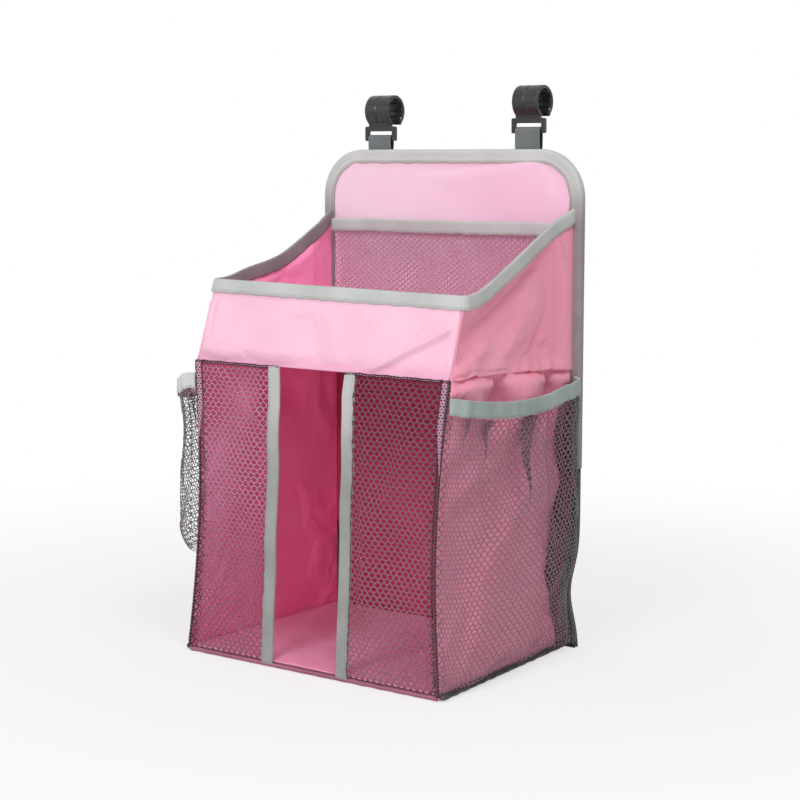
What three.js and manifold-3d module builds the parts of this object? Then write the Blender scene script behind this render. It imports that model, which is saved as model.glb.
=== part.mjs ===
// Crib hanging organizer: a fabric box on a stiffened back panel, with an open tray on top,
// a slotted net front, side pockets and two swivelling rail clips on webbing loops.
// Units are millimetres, +Z is up, +X is the viewer's right and +Y points at the crib rail.
// The origin is the centre of the underside.

import * as THREE from 'three';
import { mergeVertices } from 'three/addons/utils/BufferGeometryUtils.js';
import Module from 'manifold-3d';

// Shell of the box
const baseWidth = 250;
const baseDepth = 200;
const rearWidth = 238;
const seamHeight = 240;
const frontLean = 14;
const cornerWaist = 8;
const cornerWaistReach = 120;
const fabric = 1.0;
const fit = 0.3;

// Tray above the seam
const frontRimHeight = 302;
const rearRimHeight = 362;
const bandLean = 20;
const rimLevelRun = 21;
const rimBend = 7;
const rimRearTurn = 16;
const rimSlopeClearance = 0.2;

// Back panel
const panelFlange = 12;
const panelHeight = 409;
const panelCornerRadius = 40;
const panelBoard = 2.4;
const boardClearance = 1;
const panelPinch = 8;
const panelPinchHeight = 46;
const panelPinchSpread = 28;
const netEdgeHeight = 150;

// Edge tape that wraps the raw edges
const tape = 1.0;
const tapeWidth = 11;
const slotTapeWidth = 10.5;

// Slot in the front, measured from the middle
const slotLeft = -36;
const slotRight = 29.5;

// Nets
const netThickness = 1.0;
const netPitchAcross = 15;
const netPitchUp = 20;
const netThread = 1.8;
const netMargin = 2;

// Floor of the lower compartment
const floorBoard = 2.4;
const hemHeight = 4.5;

// Piping cords sewn into the seams
const pipingRadius = 1.3;
const basePipingRadius = 1.5;
const pipingClearance = 0.45;

// Pocket on the back wall of the tray
const innerPocketHeight = 350;
const innerPocketDepth = 7;

// Side pockets
const pocketFrontInset = 4;
const pocketRear = 88;
const pocketRearFlare = 7.8;
const pocketSeat = 0.8;
const pocketFlareStart = 0.8;
const elasticWidth = 12;
const rightPocketTop = 227;
const rightPocketBulge = 18;
const rightPocketSquareness = 2.4;
const rightPocketSag = 8;
const rightPocketRise = 70;
const leftPocketBottom = 82;
const leftPocketTop = 229;
const leftPocketBulge = 44;
const leftPocketSquareness = 3.2;
const leftPocketSag = 13;
const leftPocketRise = 26;

// Tray floor flap and what it rests on
const ledgeThickness = 1.5;
const frontLedgeWidth = 22;
const sideLedgeWidth = 9;
const flapBoard = 2.4;
const flapSideClearance = 0.7;
const flapSwingClearance = 2;
const hingeTapeThickness = 1.5;

// Webbing straps
const strapSpacing = 150;
const strapWidth = 24;
const webbing = 1.4;
const strapTailLength = 46;
const strapRiseLeft = 9.5;
const strapRiseRight = 15;
const strapPivotRise = 1.7;

// Rail clips
const barRadius = 1.6;
const slotWidth = 25.5;
const clipPlateWidth = 31.5;
const clipPlateThickness = 4.5;
const clipPlateCorner = 1.8;
const clipPlateRise = 10.2;
const clipPlateDrop = 2.2;
const clipSlotRise = 6;
const clipNeckThickness = 1.8;
const clipNeckDrop = 7.4;
const clipOverlap = 1;
const ringWidth = 24;
const ringOuterRadius = 13.5;
const ringWall = 3;
const ringOffset = 5.4;
const ringStartAngle = -57;
const ringEndAngle = 246;
const gripRibs = 7;
const gripRibHeight = 0.7;
const ringGrooveWidth = 1.4;
const ringGrooveDepth = 0.6;
const ringEdgeBevel = 0.6;

// Values that follow from the sizes above
const wrap = tape + fit;
const frontY = -baseDepth / 2 + wrap;
const panelRearY = baseDepth / 2 - wrap;
const panelWidth = rearWidth + 2 * panelFlange;
const panelFaceY = panelRearY - 2 * fabric - 2 * fit - panelBoard;
const wallRearY = panelFaceY - fit;
const frontAngle = Math.atan2(frontLean, seamHeight);
const bandRise = frontRimHeight - seamHeight;
const bandAngle = Math.atan2(bandLean, bandRise);
const seamY = frontY + frontLean;
const frontRimY = seamY + bandLean;
const rimMidY = frontRimY + (fabric / 2) * Math.cos(bandAngle);
const floorStack = fabric + fit;
const rightPocketBottom = 2 * basePipingRadius + netThickness + 2 * fit;
const ledgeBottom = seamHeight + 2 * fit;
const flapUnderside = ledgeBottom + ledgeThickness + fit;
const flapThickness = 2 * fabric + 2 * fit + flapBoard;
const flapTop = flapUnderside + flapThickness;
const flapHingeY = panelFaceY - innerPocketDepth - netThickness - 2 * fit;
const strapMidY = baseDepth / 2 + fit + webbing;
const ringCentreZ = clipPlateRise - fit + ringOuterRadius;

const materials = {
  pink: { color: 0xf3b4cd, roughness: 0.85 },
  pinkInner: { color: 0xcf5585, roughness: 0.9 },
  board: { color: 0xb9ab95, roughness: 0.95 },
  greyTape: { color: 0xb9c0bd, roughness: 0.8 },
  elastic: { color: 0x8fa09a, roughness: 0.8 },
  net: { color: 0x6b666a, roughness: 0.8 },
  webbing: { color: 0x7c8484, roughness: 0.85 },
  blackPlastic: { color: 0x26262a, roughness: 0.4 },
};

const wasm = await Module();
wasm.setup();

const organizer = new THREE.Group();
organizer.name = 'crib_hanging_organizer';

function addPiece(name, geometry, materialName, parent = organizer) {
  const look = materials[materialName];
  const material = new THREE.MeshStandardMaterial({
    color: look.color,
    roughness: look.roughness,
    metalness: 0,
  });
  const mesh = new THREE.Mesh(geometry, material);
  mesh.name = name;
  parent.add(mesh);
  return mesh;
}

// Solids joined and cut

function toSolid(geometry) {
  const bare = geometry.clone();
  bare.deleteAttribute('normal');
  bare.deleteAttribute('uv');
  const merged = mergeVertices(bare, 1e-4);
  const mesh = new wasm.Mesh({
    numProp: 3,
    vertProperties: new Float32Array(merged.attributes.position.array),
    triVerts: new Uint32Array(merged.index.array),
  });
  return new wasm.Manifold(mesh);
}

function toGeometry(solid) {
  const mesh = solid.getMesh();
  const geometry = new THREE.BufferGeometry();
  geometry.setAttribute('position', new THREE.BufferAttribute(mesh.vertProperties, 3));
  geometry.setIndex(new THREE.BufferAttribute(mesh.triVerts, 1));
  geometry.computeVertexNormals();
  return geometry;
}

function union(geometries) {
  const solids = geometries.map(toSolid);
  const joined = solids.reduce((whole, piece) => whole.add(piece));
  return toGeometry(joined);
}

function subtract(body, cutter) {
  return toGeometry(toSolid(body).subtract(toSolid(cutter)));
}

// A closed body swept through a list of sections, each a loop of the same number of points

function sweep(sections, capTriangles) {
  const count = sections[0].length;
  const points = sections.flat();
  const triangles = [];
  for (let i = 0; i + 1 < sections.length; i += 1) {
    for (let k = 0; k < count; k += 1) {
      const next = (k + 1) % count;
      const a = i * count + k;
      const b = i * count + next;
      const c = (i + 1) * count + next;
      const d = (i + 1) * count + k;
      triangles.push([a, b, c], [a, c, d]);
    }
  }
  const last = (sections.length - 1) * count;
  for (const [a, b, c] of capTriangles) {
    triangles.push([c, b, a]);
    triangles.push([last + a, last + b, last + c]);
  }
  return closedGeometry(points, triangles);
}

function closedGeometry(points, triangles) {
  let volume = 0;
  const cross = new THREE.Vector3();
  for (const [a, b, c] of triangles) {
    volume += points[a].dot(cross.crossVectors(points[b], points[c]));
  }
  const outward = volume > 0 ? triangles : triangles.map(([a, b, c]) => [a, c, b]);
  const geometry = new THREE.BufferGeometry();
  geometry.setFromPoints(points);
  geometry.setIndex(outward.flat());
  geometry.computeVertexNormals();
  return geometry;
}

function profileCap(profile) {
  return THREE.ShapeUtils.triangulateShape(profile, []);
}

// A wall between two skins: skinAt(s, t) gives one skin, and normalAt the way to the other

function wall(skinAt, normalAt, thickness, columns, rows) {
  const sections = [];
  for (let i = 0; i <= columns; i += 1) {
    const s = i / columns;
    const near = [];
    const far = [];
    for (let j = 0; j <= rows; j += 1) {
      const t = j / rows;
      const point = skinAt(s, t);
      near.push(point);
      far.push(point.clone().addScaledVector(normalAt(s, t), thickness));
    }
    sections.push([...near, ...far.reverse()]);
  }
  const cap = [];
  const total = 2 * (rows + 1);
  for (let j = 0; j < rows; j += 1) {
    cap.push([j, j + 1, total - 2 - j], [j, total - 2 - j, total - 1 - j]);
  }
  return sweep(sections, cap);
}

function surfaceNormal(skinAt, s, t) {
  const step = 1e-3;
  const s0 = Math.max(0, s - step);
  const s1 = Math.min(1, s + step);
  const t0 = Math.max(0, t - step);
  const t1 = Math.min(1, t + step);
  const alongS = skinAt(s1, t).sub(skinAt(s0, t));
  const alongT = skinAt(s, t1).sub(skinAt(s, t0));
  return alongS.cross(alongT).normalize();
}

// A flat plate that stands up: its front face is at y = 0 and it goes back by its thickness

function standingPlate(shape, thickness) {
  const geometry = new THREE.ExtrudeGeometry(shape, {
    depth: thickness,
    bevelEnabled: false,
    curveSegments: 10,
  });
  geometry.rotateX(Math.PI / 2);
  geometry.translate(0, thickness, 0);
  return geometry;
}

function lyingPlate(shape, thickness, bottom) {
  const geometry = new THREE.ExtrudeGeometry(shape, { depth: thickness, bevelEnabled: false });
  geometry.translate(0, 0, bottom);
  return geometry;
}

function polygon(points) {
  return new THREE.Shape(points.map(([x, y]) => new THREE.Vector2(x, y)));
}

// Section of the tape folded over an edge: legs hang by width on both sides of what it wraps

function tapeProfile(wrapped, width, thickness) {
  const inner = wrapped / 2 + fit;
  const outer = inner + thickness;
  const points = [
    [-outer, -width],
    [-inner, -width],
    [-inner, -thickness],
    [inner, -thickness],
    [inner, -width],
    [outer, -width],
    [outer, 0],
    [-outer, 0],
  ];
  return points.map(([x, y]) => new THREE.Vector2(x, y));
}

function tapeSweep(stations, profile) {
  const sections = stations.map(({ at, out, up }) =>
    profile.map((p) => at.clone().addScaledVector(out, p.x).addScaledVector(up, p.y)),
  );
  return sweep(sections, profileCap(profile));
}

// Plan and side view of the box

function wallX(y) {
  const along = (y - frontY) / (wallRearY - frontY);
  return THREE.MathUtils.lerp(baseWidth, rearWidth, along) / 2;
}

function lowerFrontY(z) {
  return frontY + (frontLean * z) / seamHeight;
}

function bandY(z) {
  return seamY + (bandLean * (z - seamHeight)) / bandRise;
}

function cornerDraw(z) {
  return cornerWaist * Math.sin((Math.PI * z) / seamHeight);
}

function lowerWallX(y, z) {
  const back = THREE.MathUtils.smoothstep(y - frontY, 0, cornerWaistReach);
  return wallX(y) - cornerDraw(z) * (1 - back);
}

function rimHeight(y) {
  const bendY = frontRimY + rimLevelRun;
  const soft = rimBend * Math.log1p(Math.exp((y - bendY) / rimBend));
  return frontRimHeight + ((rearRimHeight - frontRimHeight) * soft) / (wallRearY - bendY);
}

function panelHalf(z) {
  const pinch = panelPinch * Math.exp(-(((z - panelPinchHeight) / panelPinchSpread) ** 2));
  return panelWidth / 2 - pinch;
}

function curvedHeights(bottom, top) {
  if (bottom >= top) {
    return [bottom];
  }
  const steps = 12;
  return Array.from({ length: steps + 1 }, (_, i) => THREE.MathUtils.lerp(bottom, top, i / steps));
}

// Right half of the panel's outline, drawn inset from its outer edge, from one height to the top

function panelEdge(inset, fromHeight) {
  const straightTop = panelHeight - panelCornerRadius;
  const points = curvedHeights(fromHeight, netEdgeHeight).map((z) => [panelHalf(z) - inset, z]);
  const centreX = panelWidth / 2 - panelCornerRadius;
  const radius = panelCornerRadius - inset;
  const steps = 9;
  for (let i = 0; i <= steps; i += 1) {
    const angle = (i / steps) * (Math.PI / 2);
    points.push([centreX + radius * Math.cos(angle), straightTop + radius * Math.sin(angle)]);
  }
  return points;
}

function mirrored(points) {
  return points.map(([x, z]) => [-x, z]).reverse();
}

function panelShape(inset, fromHeight) {
  const right = panelEdge(inset, fromHeight);
  return polygon([...right, ...mirrored(right)]);
}

function panelHoop(outerInset, innerInset, fromHeight) {
  const outer = panelEdge(outerInset, fromHeight);
  const inner = panelEdge(innerInset, fromHeight);
  const outerLoop = [...outer, ...mirrored(outer)];
  const innerLoop = [...inner, ...mirrored(inner)].reverse();
  return polygon([...outerLoop, ...innerLoop]);
}

// Tape round the panel: two faces joined by the strip over the edge

function foldedHoop(makeStrip) {
  const depth = panelRearY - panelFaceY + 2 * wrap;
  const front = standingPlate(makeStrip(0, tapeWidth), tape);
  const rear = standingPlate(makeStrip(0, tapeWidth), tape);
  const edge = standingPlate(makeStrip(0, tape), depth);
  rear.translate(0, depth - tape, 0);
  const whole = union([front, rear, edge]);
  whole.translate(0, panelFaceY - wrap, 0);
  return whole;
}

function makeBackPanel() {
  const core = panelShape(wrap, 0);
  const face = standingPlate(core, fabric);
  face.translate(0, panelFaceY, 0);
  addPiece('back_panel_face', face, 'pink');

  const board = standingPlate(panelShape(wrap + boardClearance, boardClearance), panelBoard);
  board.translate(0, panelFaceY + fabric + fit, 0);
  addPiece('back_panel_board', board, 'board');

  const rear = standingPlate(core, fabric);
  rear.translate(0, panelRearY - fabric, 0);
  addPiece('back_panel_rear', rear, 'pink');

  const hoop = (outer, inner) => panelHoop(outer, inner, netEdgeHeight);
  addPiece('back_panel_binding', foldedHoop(hoop), 'greyTape');

  const wallEdge = wallX(wallRearY) + 2 * fit;
  for (const [side, sign] of [['left', -1], ['right', 1]]) {
    const strip = (outer, inner) => {
      const heights = curvedHeights(0, netEdgeHeight - fit);
      const innerX = (z) => Math.max(wallEdge, panelHalf(z) - inner);
      const outline = heights.map((z) => [sign * (panelHalf(z) - outer), z]);
      const back = heights.map((z) => [sign * innerX(z), z]).reverse();
      return polygon([...outline, ...back]);
    };
    addPiece(`net_edge_${side}`, foldedHoop(strip), 'net');
  }
}

// Floor of the lower compartment: cover, board and lining

function floorOutline(inset) {
  const front = frontY + inset;
  const rear = wallRearY - inset;
  return polygon([
    [-(wallX(front) - inset), front],
    [wallX(front) - inset, front],
    [wallX(rear) - inset, rear],
    [-(wallX(rear) - inset), rear],
  ]);
}

function makeFloor() {
  const inside = fabric + 2 * fit + boardClearance;
  const boardInside = inside + cornerWaist / 4;
  addPiece('bottom_cover', lyingPlate(floorOutline(0), fabric, 0), 'pink');
  addPiece('bottom_board', lyingPlate(floorOutline(boardInside), floorBoard, floorStack), 'board');
  const liningBottom = floorStack + floorBoard + fit;
  addPiece('floor_lining', lyingPlate(floorOutline(inside), fabric, liningBottom), 'pinkInner');
}

// Side walls of the lower compartment, drawn in at the front corners

function makeLowerWalls() {
  const bottom = floorStack;
  const top = seamHeight - fit;
  for (const [side, sign] of [['left', -1], ['right', 1]]) {
    const skin = (s, t) => {
      const z = THREE.MathUtils.lerp(bottom, top, t);
      const y = THREE.MathUtils.lerp(lowerFrontY(z), wallRearY, s);
      return new THREE.Vector3(sign * lowerWallX(y, z), y, z);
    };
    const inward = () => new THREE.Vector3(-sign, 0, 0);
    addPiece(`side_panel_${side}`, wall(skin, inward, fabric, 12, 10), 'pink');
  }
}

// Staggered diamond gaps that fit inside a region of the net

function netGaps(insideAt, left, right, bottom, top) {
  const halfWide = netPitchAcross / 2 - netThread / 2;
  const halfTall = netPitchUp / 2 - netThread / 2;
  const gaps = [];
  let row = 0;
  for (let z = bottom + halfTall; z < top - halfTall; z += netPitchUp / 2) {
    const stagger = row % 2 === 0 ? 0 : netPitchAcross / 2;
    for (let x = left + halfWide + stagger; x < right; x += netPitchAcross) {
      const corners = [
        [x - halfWide, z],
        [x, z - halfTall],
        [x + halfWide, z],
        [x, z + halfTall],
      ];
      if (corners.every(([cx, cz]) => insideAt(cx, cz))) {
        gaps.push(corners);
      }
    }
    row += 1;
  }
  return gaps;
}

function netShape(outline, gaps) {
  const shape = polygon(outline);
  for (const gap of gaps) {
    const hole = new THREE.Path(gap.map(([x, z]) => new THREE.Vector2(x, z)));
    shape.holes.push(hole);
  }
  return shape;
}

// Front of the lower compartment, in the plane that leans back to the seam

function makeLowerFront() {
  const front = new THREE.Group();
  front.position.set(0, frontY, 0);
  front.rotation.x = -frontAngle;
  organizer.add(front);

  const planeHeight = seamHeight / Math.cos(frontAngle);
  const hemBottom = floorStack + fit;
  const hemTop = hemBottom + hemHeight;
  const netBottom = hemTop + fit;
  const netTop = planeHeight - 2 * fit;
  const outerEdge = (h) => {
    const z = h * Math.cos(frontAngle);
    return lowerWallX(lowerFrontY(z), z) - fabric - fit;
  };

  const hem = standingPlate(
    polygon([
      [-outerEdge(hemTop), hemBottom],
      [outerEdge(hemTop), hemBottom],
      [outerEdge(hemTop), hemTop],
      [-outerEdge(hemTop), hemTop],
    ]),
    fabric,
  );
  addPiece('front_hem', hem, 'pink', front);

  const edges = { left: slotLeft, right: slotRight };
  for (const [side, sign] of [['left', -1], ['right', 1]]) {
    const freeEdge = edges[side] + sign * wrap;
    const outline = [];
    const steps = 16;
    for (let i = 0; i <= steps; i += 1) {
      const h = THREE.MathUtils.lerp(netBottom, netTop, i / steps);
      outline.push([sign * outerEdge(h), h]);
    }
    outline.push([freeEdge, netTop], [freeEdge, netBottom]);
    const tapeEnd = Math.abs(edges[side]) + slotTapeWidth;
    const inside = (x, h) =>
      sign * x > tapeEnd + netMargin / 2 && sign * x < outerEdge(h) - netMargin;
    const low = sign < 0 ? -outerEdge(0) : tapeEnd;
    const high = sign < 0 ? -tapeEnd : outerEdge(0);
    const gaps = netGaps(inside, low, high, netBottom + netMargin, netTop - netMargin);
    addPiece(`front_mesh_${side}`, standingPlate(netShape(outline, gaps), netThickness), 'net', front);

    const profile = tapeProfile(netThickness, slotTapeWidth, tape);
    const station = (h) => ({
      at: new THREE.Vector3(edges[side], netThickness / 2, h),
      out: new THREE.Vector3(0, 1, 0),
      up: new THREE.Vector3(-sign, 0, 0),
    });
    const folded = tapeSweep([station(netBottom), station(netTop)], profile);
    addPiece(`slot_binding_${side}`, folded, 'greyTape', front);
  }
}

// Cords in the corner seams and along the lower side edges

function ringOfPoints(centre, radius, across, up) {
  const sides = 8;
  const loop = [];
  for (let k = 0; k < sides; k += 1) {
    const angle = (k / sides) * Math.PI * 2;
    const point = centre.clone();
    point.addScaledVector(across, radius * Math.cos(angle));
    point.addScaledVector(up, radius * Math.sin(angle));
    loop.push(point);
  }
  return loop;
}

function roundCap() {
  return [0, 1, 2, 3, 4, 5].map((k) => [0, k + 1, k + 2]);
}

function makePiping() {
  const alongX = new THREE.Vector3(1, 0, 0);
  const alongY = new THREE.Vector3(0, 1, 0);
  const alongZ = new THREE.Vector3(0, 0, 1);
  const cornerStep = (pipingRadius + pipingClearance) / Math.SQRT2;
  const basePipingTop = 2 * basePipingRadius + fit;
  for (const [side, sign] of [['left', -1], ['right', 1]]) {
    const corner = [];
    const steps = 14;
    for (let i = 0; i <= steps; i += 1) {
      const z = THREE.MathUtils.lerp(basePipingTop, seamHeight - fit, i / steps);
      const y = lowerFrontY(z);
      const x = lowerWallX(y, z) + cornerStep;
      const centre = new THREE.Vector3(sign * x, y - cornerStep, z);
      corner.push(ringOfPoints(centre, pipingRadius, alongX, alongY));
    }
    addPiece(`corner_piping_${side}`, sweep(corner, roundCap()), 'net');

    const offset = basePipingRadius + fit;
    const ends = [frontY, wallRearY - wrap - 2 * fit];
    const base = ends.map((y) => {
      const centre = new THREE.Vector3(sign * (wallX(y) + offset), y, basePipingRadius);
      return ringOfPoints(centre, basePipingRadius, alongX, alongZ);
    });
    addPiece(`base_piping_${side}`, sweep(base, roundCap()), 'net');
  }
}

// Tray band: the front leans back, and the sides rise to the panel

function makeTrayBand() {
  const band = new THREE.Group();
  band.position.set(0, seamY, seamHeight);
  band.rotation.x = -bandAngle;
  organizer.add(band);
  const length = Math.hypot(bandLean, bandRise) - wrap;
  const halfAt = (h) => wallX(seamY + h * Math.sin(bandAngle)) - fabric - fit;
  const shape = polygon([
    [-halfAt(fit), fit],
    [halfAt(fit), fit],
    [halfAt(length), length],
    [-halfAt(length), length],
  ]);
  addPiece('front_band', standingPlate(shape, fabric), 'pink', band);

  const bottom = seamHeight + fit;
  for (const [side, sign] of [['left', -1], ['right', 1]]) {
    const skin = (s, t) => {
      const frontTop = bandY(frontRimHeight - wrap);
      const y = THREE.MathUtils.lerp(
        THREE.MathUtils.lerp(bandY(bottom), frontTop, t),
        wallRearY,
        s,
      );
      const z = THREE.MathUtils.lerp(bottom, rimHeight(y) - wrap - rimSlopeClearance, t);
      return new THREE.Vector3(sign * wallX(y), y, z);
    };
    const inward = () => new THREE.Vector3(-sign, 0, 0);
    addPiece(`tray_side_${side}`, wall(skin, inward, fabric, 14, 2), 'pink');
  }
}

// Tape over the tray's rim, mitred at the two front corners

function makeRimBinding() {
  const leanUp = new THREE.Vector3(0, Math.sin(bandAngle), Math.cos(bandAngle));
  const leanOut = new THREE.Vector3(0, -Math.cos(bandAngle), Math.sin(bandAngle));
  const upright = new THREE.Vector3(0, 0, 1);
  const rimRearY = wallRearY - wrap;
  const sideRun = (sign) => {
    const stations = [];
    const steps = 14;
    for (let i = 0; i <= steps; i += 1) {
      const along = i / steps;
      const y = THREE.MathUtils.lerp(rimRearY, rimMidY, along);
      const slope = rimHeight(y + 0.5) - rimHeight(y - 0.5);
      const square = new THREE.Vector3(0, -slope, 1).normalize();
      const frontTurn = 1 - THREE.MathUtils.smoothstep(y - rimMidY, 0, rimLevelRun);
      const rearTurn = 1 - THREE.MathUtils.smoothstep(rimRearY - y, 0, rimRearTurn);
      const up = square.lerp(leanUp, frontTurn).lerp(upright, rearTurn).normalize();
      const at = new THREE.Vector3(sign * (wallX(y) - fabric / 2), y, rimHeight(y));
      stations.push({ at, out: new THREE.Vector3(sign, 0, 0), up });
    }
    const corner = stations[steps];
    corner.out = new THREE.Vector3(sign, 0, 0).add(leanOut);
    return stations;
  };
  const left = sideRun(-1);
  const right = sideRun(1).reverse();
  const profile = tapeProfile(fabric, tapeWidth, tape);
  addPiece('rim_binding', tapeSweep([...left, ...right], profile), 'greyTape');
}

// Net pocket on the back wall of the tray

function makeInnerPocket() {
  const netRearY = panelFaceY - innerPocketDepth;
  const netFrontY = netRearY - netThickness;
  const half = wallX(netFrontY) - fabric - wrap - fit;
  const bottom = flapTop + fit;
  const top = innerPocketHeight - wrap;
  const outline = [
    [-half, bottom],
    [half, bottom],
    [half, top],
    [-half, top],
  ];
  const gapTop = innerPocketHeight - tapeWidth - netMargin / 2;
  const inside = (x, z) =>
    Math.abs(x) < half - netMargin && z > bottom + netMargin && z < gapTop;
  const gaps = netGaps(inside, -half + netMargin, half, bottom + netMargin, gapTop);
  const net = standingPlate(netShape(outline, gaps), netThickness);
  net.translate(0, netFrontY, 0);
  addPiece('inner_pocket_mesh', net, 'net');

  const profile = tapeProfile(netThickness, tapeWidth, tape);
  const station = (x) => ({
    at: new THREE.Vector3(x, netFrontY + netThickness / 2, innerPocketHeight),
    out: new THREE.Vector3(0, 1, 0),
    up: new THREE.Vector3(0, 0, 1),
  });
  addPiece('inner_pocket_binding', tapeSweep([station(-half), station(half)], profile), 'greyTape');
}

// Side pockets: one net skin each, held off the wall by its fullness, with elastic on top

function pocketSkin(sign, size) {
  const topAt = (s) => size.top - size.sag * (1 - (2 * s - 1) ** 2);
  const skin = (s, t) => {
    const z = THREE.MathUtils.lerp(size.bottom, topAt(s) - wrap, t);
    const y = THREE.MathUtils.lerp(lowerFrontY(z) + pocketFrontInset, pocketRear, s);
    const off = Math.abs(2 * s - 1);
    const across = Math.max(0, 1 - off ** size.squareness) ** (1 / size.squareness);
    const rise = Math.min(1, (z - size.bottom) / size.rise);
    const lift = Math.sqrt(Math.max(0, 1 - (1 - rise) ** 2));
    const rearward = THREE.MathUtils.smoothstep(s, pocketFlareStart, 1);
    const x =
      lowerWallX(y, z) + pocketSeat + size.bulge * across * lift + pocketRearFlare * rearward;
    return new THREE.Vector3(sign * x, y, z);
  };
  return { skin, topAt };
}

function makeSidePockets() {
  const sizes = {
    left: {
      bottom: leftPocketBottom,
      top: leftPocketTop,
      bulge: leftPocketBulge,
      squareness: leftPocketSquareness,
      sag: leftPocketSag,
      rise: leftPocketRise,
    },
    right: {
      bottom: rightPocketBottom,
      top: rightPocketTop,
      bulge: rightPocketBulge,
      squareness: rightPocketSquareness,
      sag: rightPocketSag,
      rise: rightPocketRise,
    },
  };
  for (const [side, sign] of [['left', -1], ['right', 1]]) {
    const { skin, topAt } = pocketSkin(sign, sizes[side]);
    const outward = (s, t) => surfaceNormal(skin, s, t).multiplyScalar(sign);
    const columns = 18;
    const rows = 9;
    addPiece(`side_pocket_${side}`, wall(skin, outward, netThickness, columns, rows), 'net');

    const profile = tapeProfile(netThickness, elasticWidth, tape);
    const stations = [];
    for (let i = 0; i <= columns; i += 1) {
      const s = i / columns;
      const top = skin(s, 1);
      const below = skin(s, 1 - 1 / rows);
      const up = top.clone().sub(below).normalize();
      const out = outward(s, 1);
      out.addScaledVector(up, -out.dot(up)).normalize();
      const at = top.clone().addScaledVector(out, netThickness / 2).addScaledVector(up, wrap);
      stations.push({ at, out, up });
    }
    addPiece(`pocket_elastic_${side}`, tapeSweep(stations, profile), 'elastic');
  }
}

// Ledges sewn into the seam, and the stiff floor flap that rests on them and swings past the rim

function flapReach() {
  const inward = fabric / 2 + wrap;
  const rimInnerY = rimMidY + inward * Math.cos(bandAngle);
  const rimInnerZ = frontRimHeight - inward * Math.sin(bandAngle);
  const toRim = Math.hypot(flapHingeY - rimInnerY, rimInnerZ - flapTop);
  const toBand = flapHingeY - bandY(flapUnderside) - fabric;
  return Math.min(toRim, toBand) - flapSwingClearance;
}

function makeTrayFloor() {
  const frontInner = bandY(ledgeBottom) + fabric + 2 * fit;
  const frontLedgeRear = frontInner + frontLedgeWidth;
  const wallInside = (y) => wallX(y) - fabric - fit;
  const frontLedge = polygon([
    [-wallInside(frontInner), frontInner],
    [wallInside(frontInner), frontInner],
    [wallInside(frontLedgeRear), frontLedgeRear],
    [-wallInside(frontLedgeRear), frontLedgeRear],
  ]);
  addPiece('tray_ledge_front', lyingPlate(frontLedge, ledgeThickness, ledgeBottom), 'pinkInner');

  const sideStart = frontLedgeRear + fit;
  for (const [side, sign] of [['left', -1], ['right', 1]]) {
    const outline = polygon([
      [sign * wallInside(sideStart), sideStart],
      [sign * wallInside(wallRearY), wallRearY],
      [sign * (wallInside(wallRearY) - sideLedgeWidth), wallRearY],
      [sign * (wallInside(sideStart) - sideLedgeWidth), sideStart],
    ]);
    addPiece(`tray_ledge_${side}`, lyingPlate(outline, ledgeThickness, ledgeBottom), 'pinkInner');
  }

  const flapHalf = wallX(flapHingeY) - fabric - wrap - flapSideClearance;
  const flapRear = flapHingeY - fit / 2;
  const flapFront = flapHingeY - flapReach();
  const rectangle = (halfWidth, front, rear) =>
    polygon([
      [-halfWidth, front],
      [halfWidth, front],
      [halfWidth, rear],
      [-halfWidth, rear],
    ]);
  const sleeve = lyingPlate(rectangle(flapHalf, flapFront, flapRear), flapThickness, flapUnderside);
  const inner = rectangle(flapHalf - fabric, flapFront + fabric, flapRear + fabric);
  const hollow = lyingPlate(inner, flapBoard + 2 * fit, flapUnderside + fabric);
  addPiece('tray_floor_cover', subtract(sleeve, hollow), 'pinkInner');

  const boardInset = fabric + fit;
  const boardOutline = rectangle(flapHalf - boardInset, flapFront + boardInset, flapRear - fit);
  const board = lyingPlate(boardOutline, flapBoard, flapUnderside + fabric + fit);
  addPiece('tray_floor_board', board, 'board');

  const tapeHalf = wallX(wallRearY) - fabric - 2 * fit;
  const hingeTape = rectangle(tapeHalf, flapHingeY + fit / 2, wallRearY);
  const tapeBottom = flapTop - hingeTapeThickness;
  addPiece('tray_hinge_tape', lyingPlate(hingeTape, hingeTapeThickness, tapeBottom), 'pinkInner');
}

// Webbing: a tail sewn to the back of the panel, and a loop that swings on its top edge

function loopProfile(rise) {
  const inner = barRadius + fit;
  const outer = inner + webbing;
  const foot = strapPivotRise - rise;
  const arc = 12;
  const outline = [];
  for (let i = 0; i <= arc; i += 1) {
    const angle = (i / arc) * Math.PI;
    outline.push([outer * Math.cos(angle), outer * Math.sin(angle)]);
  }
  for (let i = 0; i <= arc; i += 1) {
    const angle = Math.PI + (i / arc) * Math.PI;
    outline.push([webbing * Math.cos(angle), foot + webbing * Math.sin(angle)]);
  }
  const shape = polygon(outline);
  const eye = [];
  const eyeSteps = 20;
  for (let i = 0; i < eyeSteps; i += 1) {
    const angle = (i / eyeSteps) * Math.PI * 2;
    eye.push([inner * Math.cos(angle), inner * Math.sin(angle)]);
  }
  shape.holes.push(new THREE.Path(eye.map(([x, y]) => new THREE.Vector2(x, y))));
  return shape;
}

// Turns a shape drawn in Y and Z into a body that runs along X, centred on x = 0

function acrossX(shape, width, options = {}) {
  const geometry = new THREE.ExtrudeGeometry(shape, {
    depth: width,
    bevelEnabled: false,
    curveSegments: 12,
    ...options,
  });
  geometry.rotateY(Math.PI / 2);
  geometry.rotateX(Math.PI / 2);
  geometry.translate(-width / 2, 0, 0);
  return geometry;
}

// Rail clip, drawn about the middle of the bar that the webbing passes round

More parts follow.
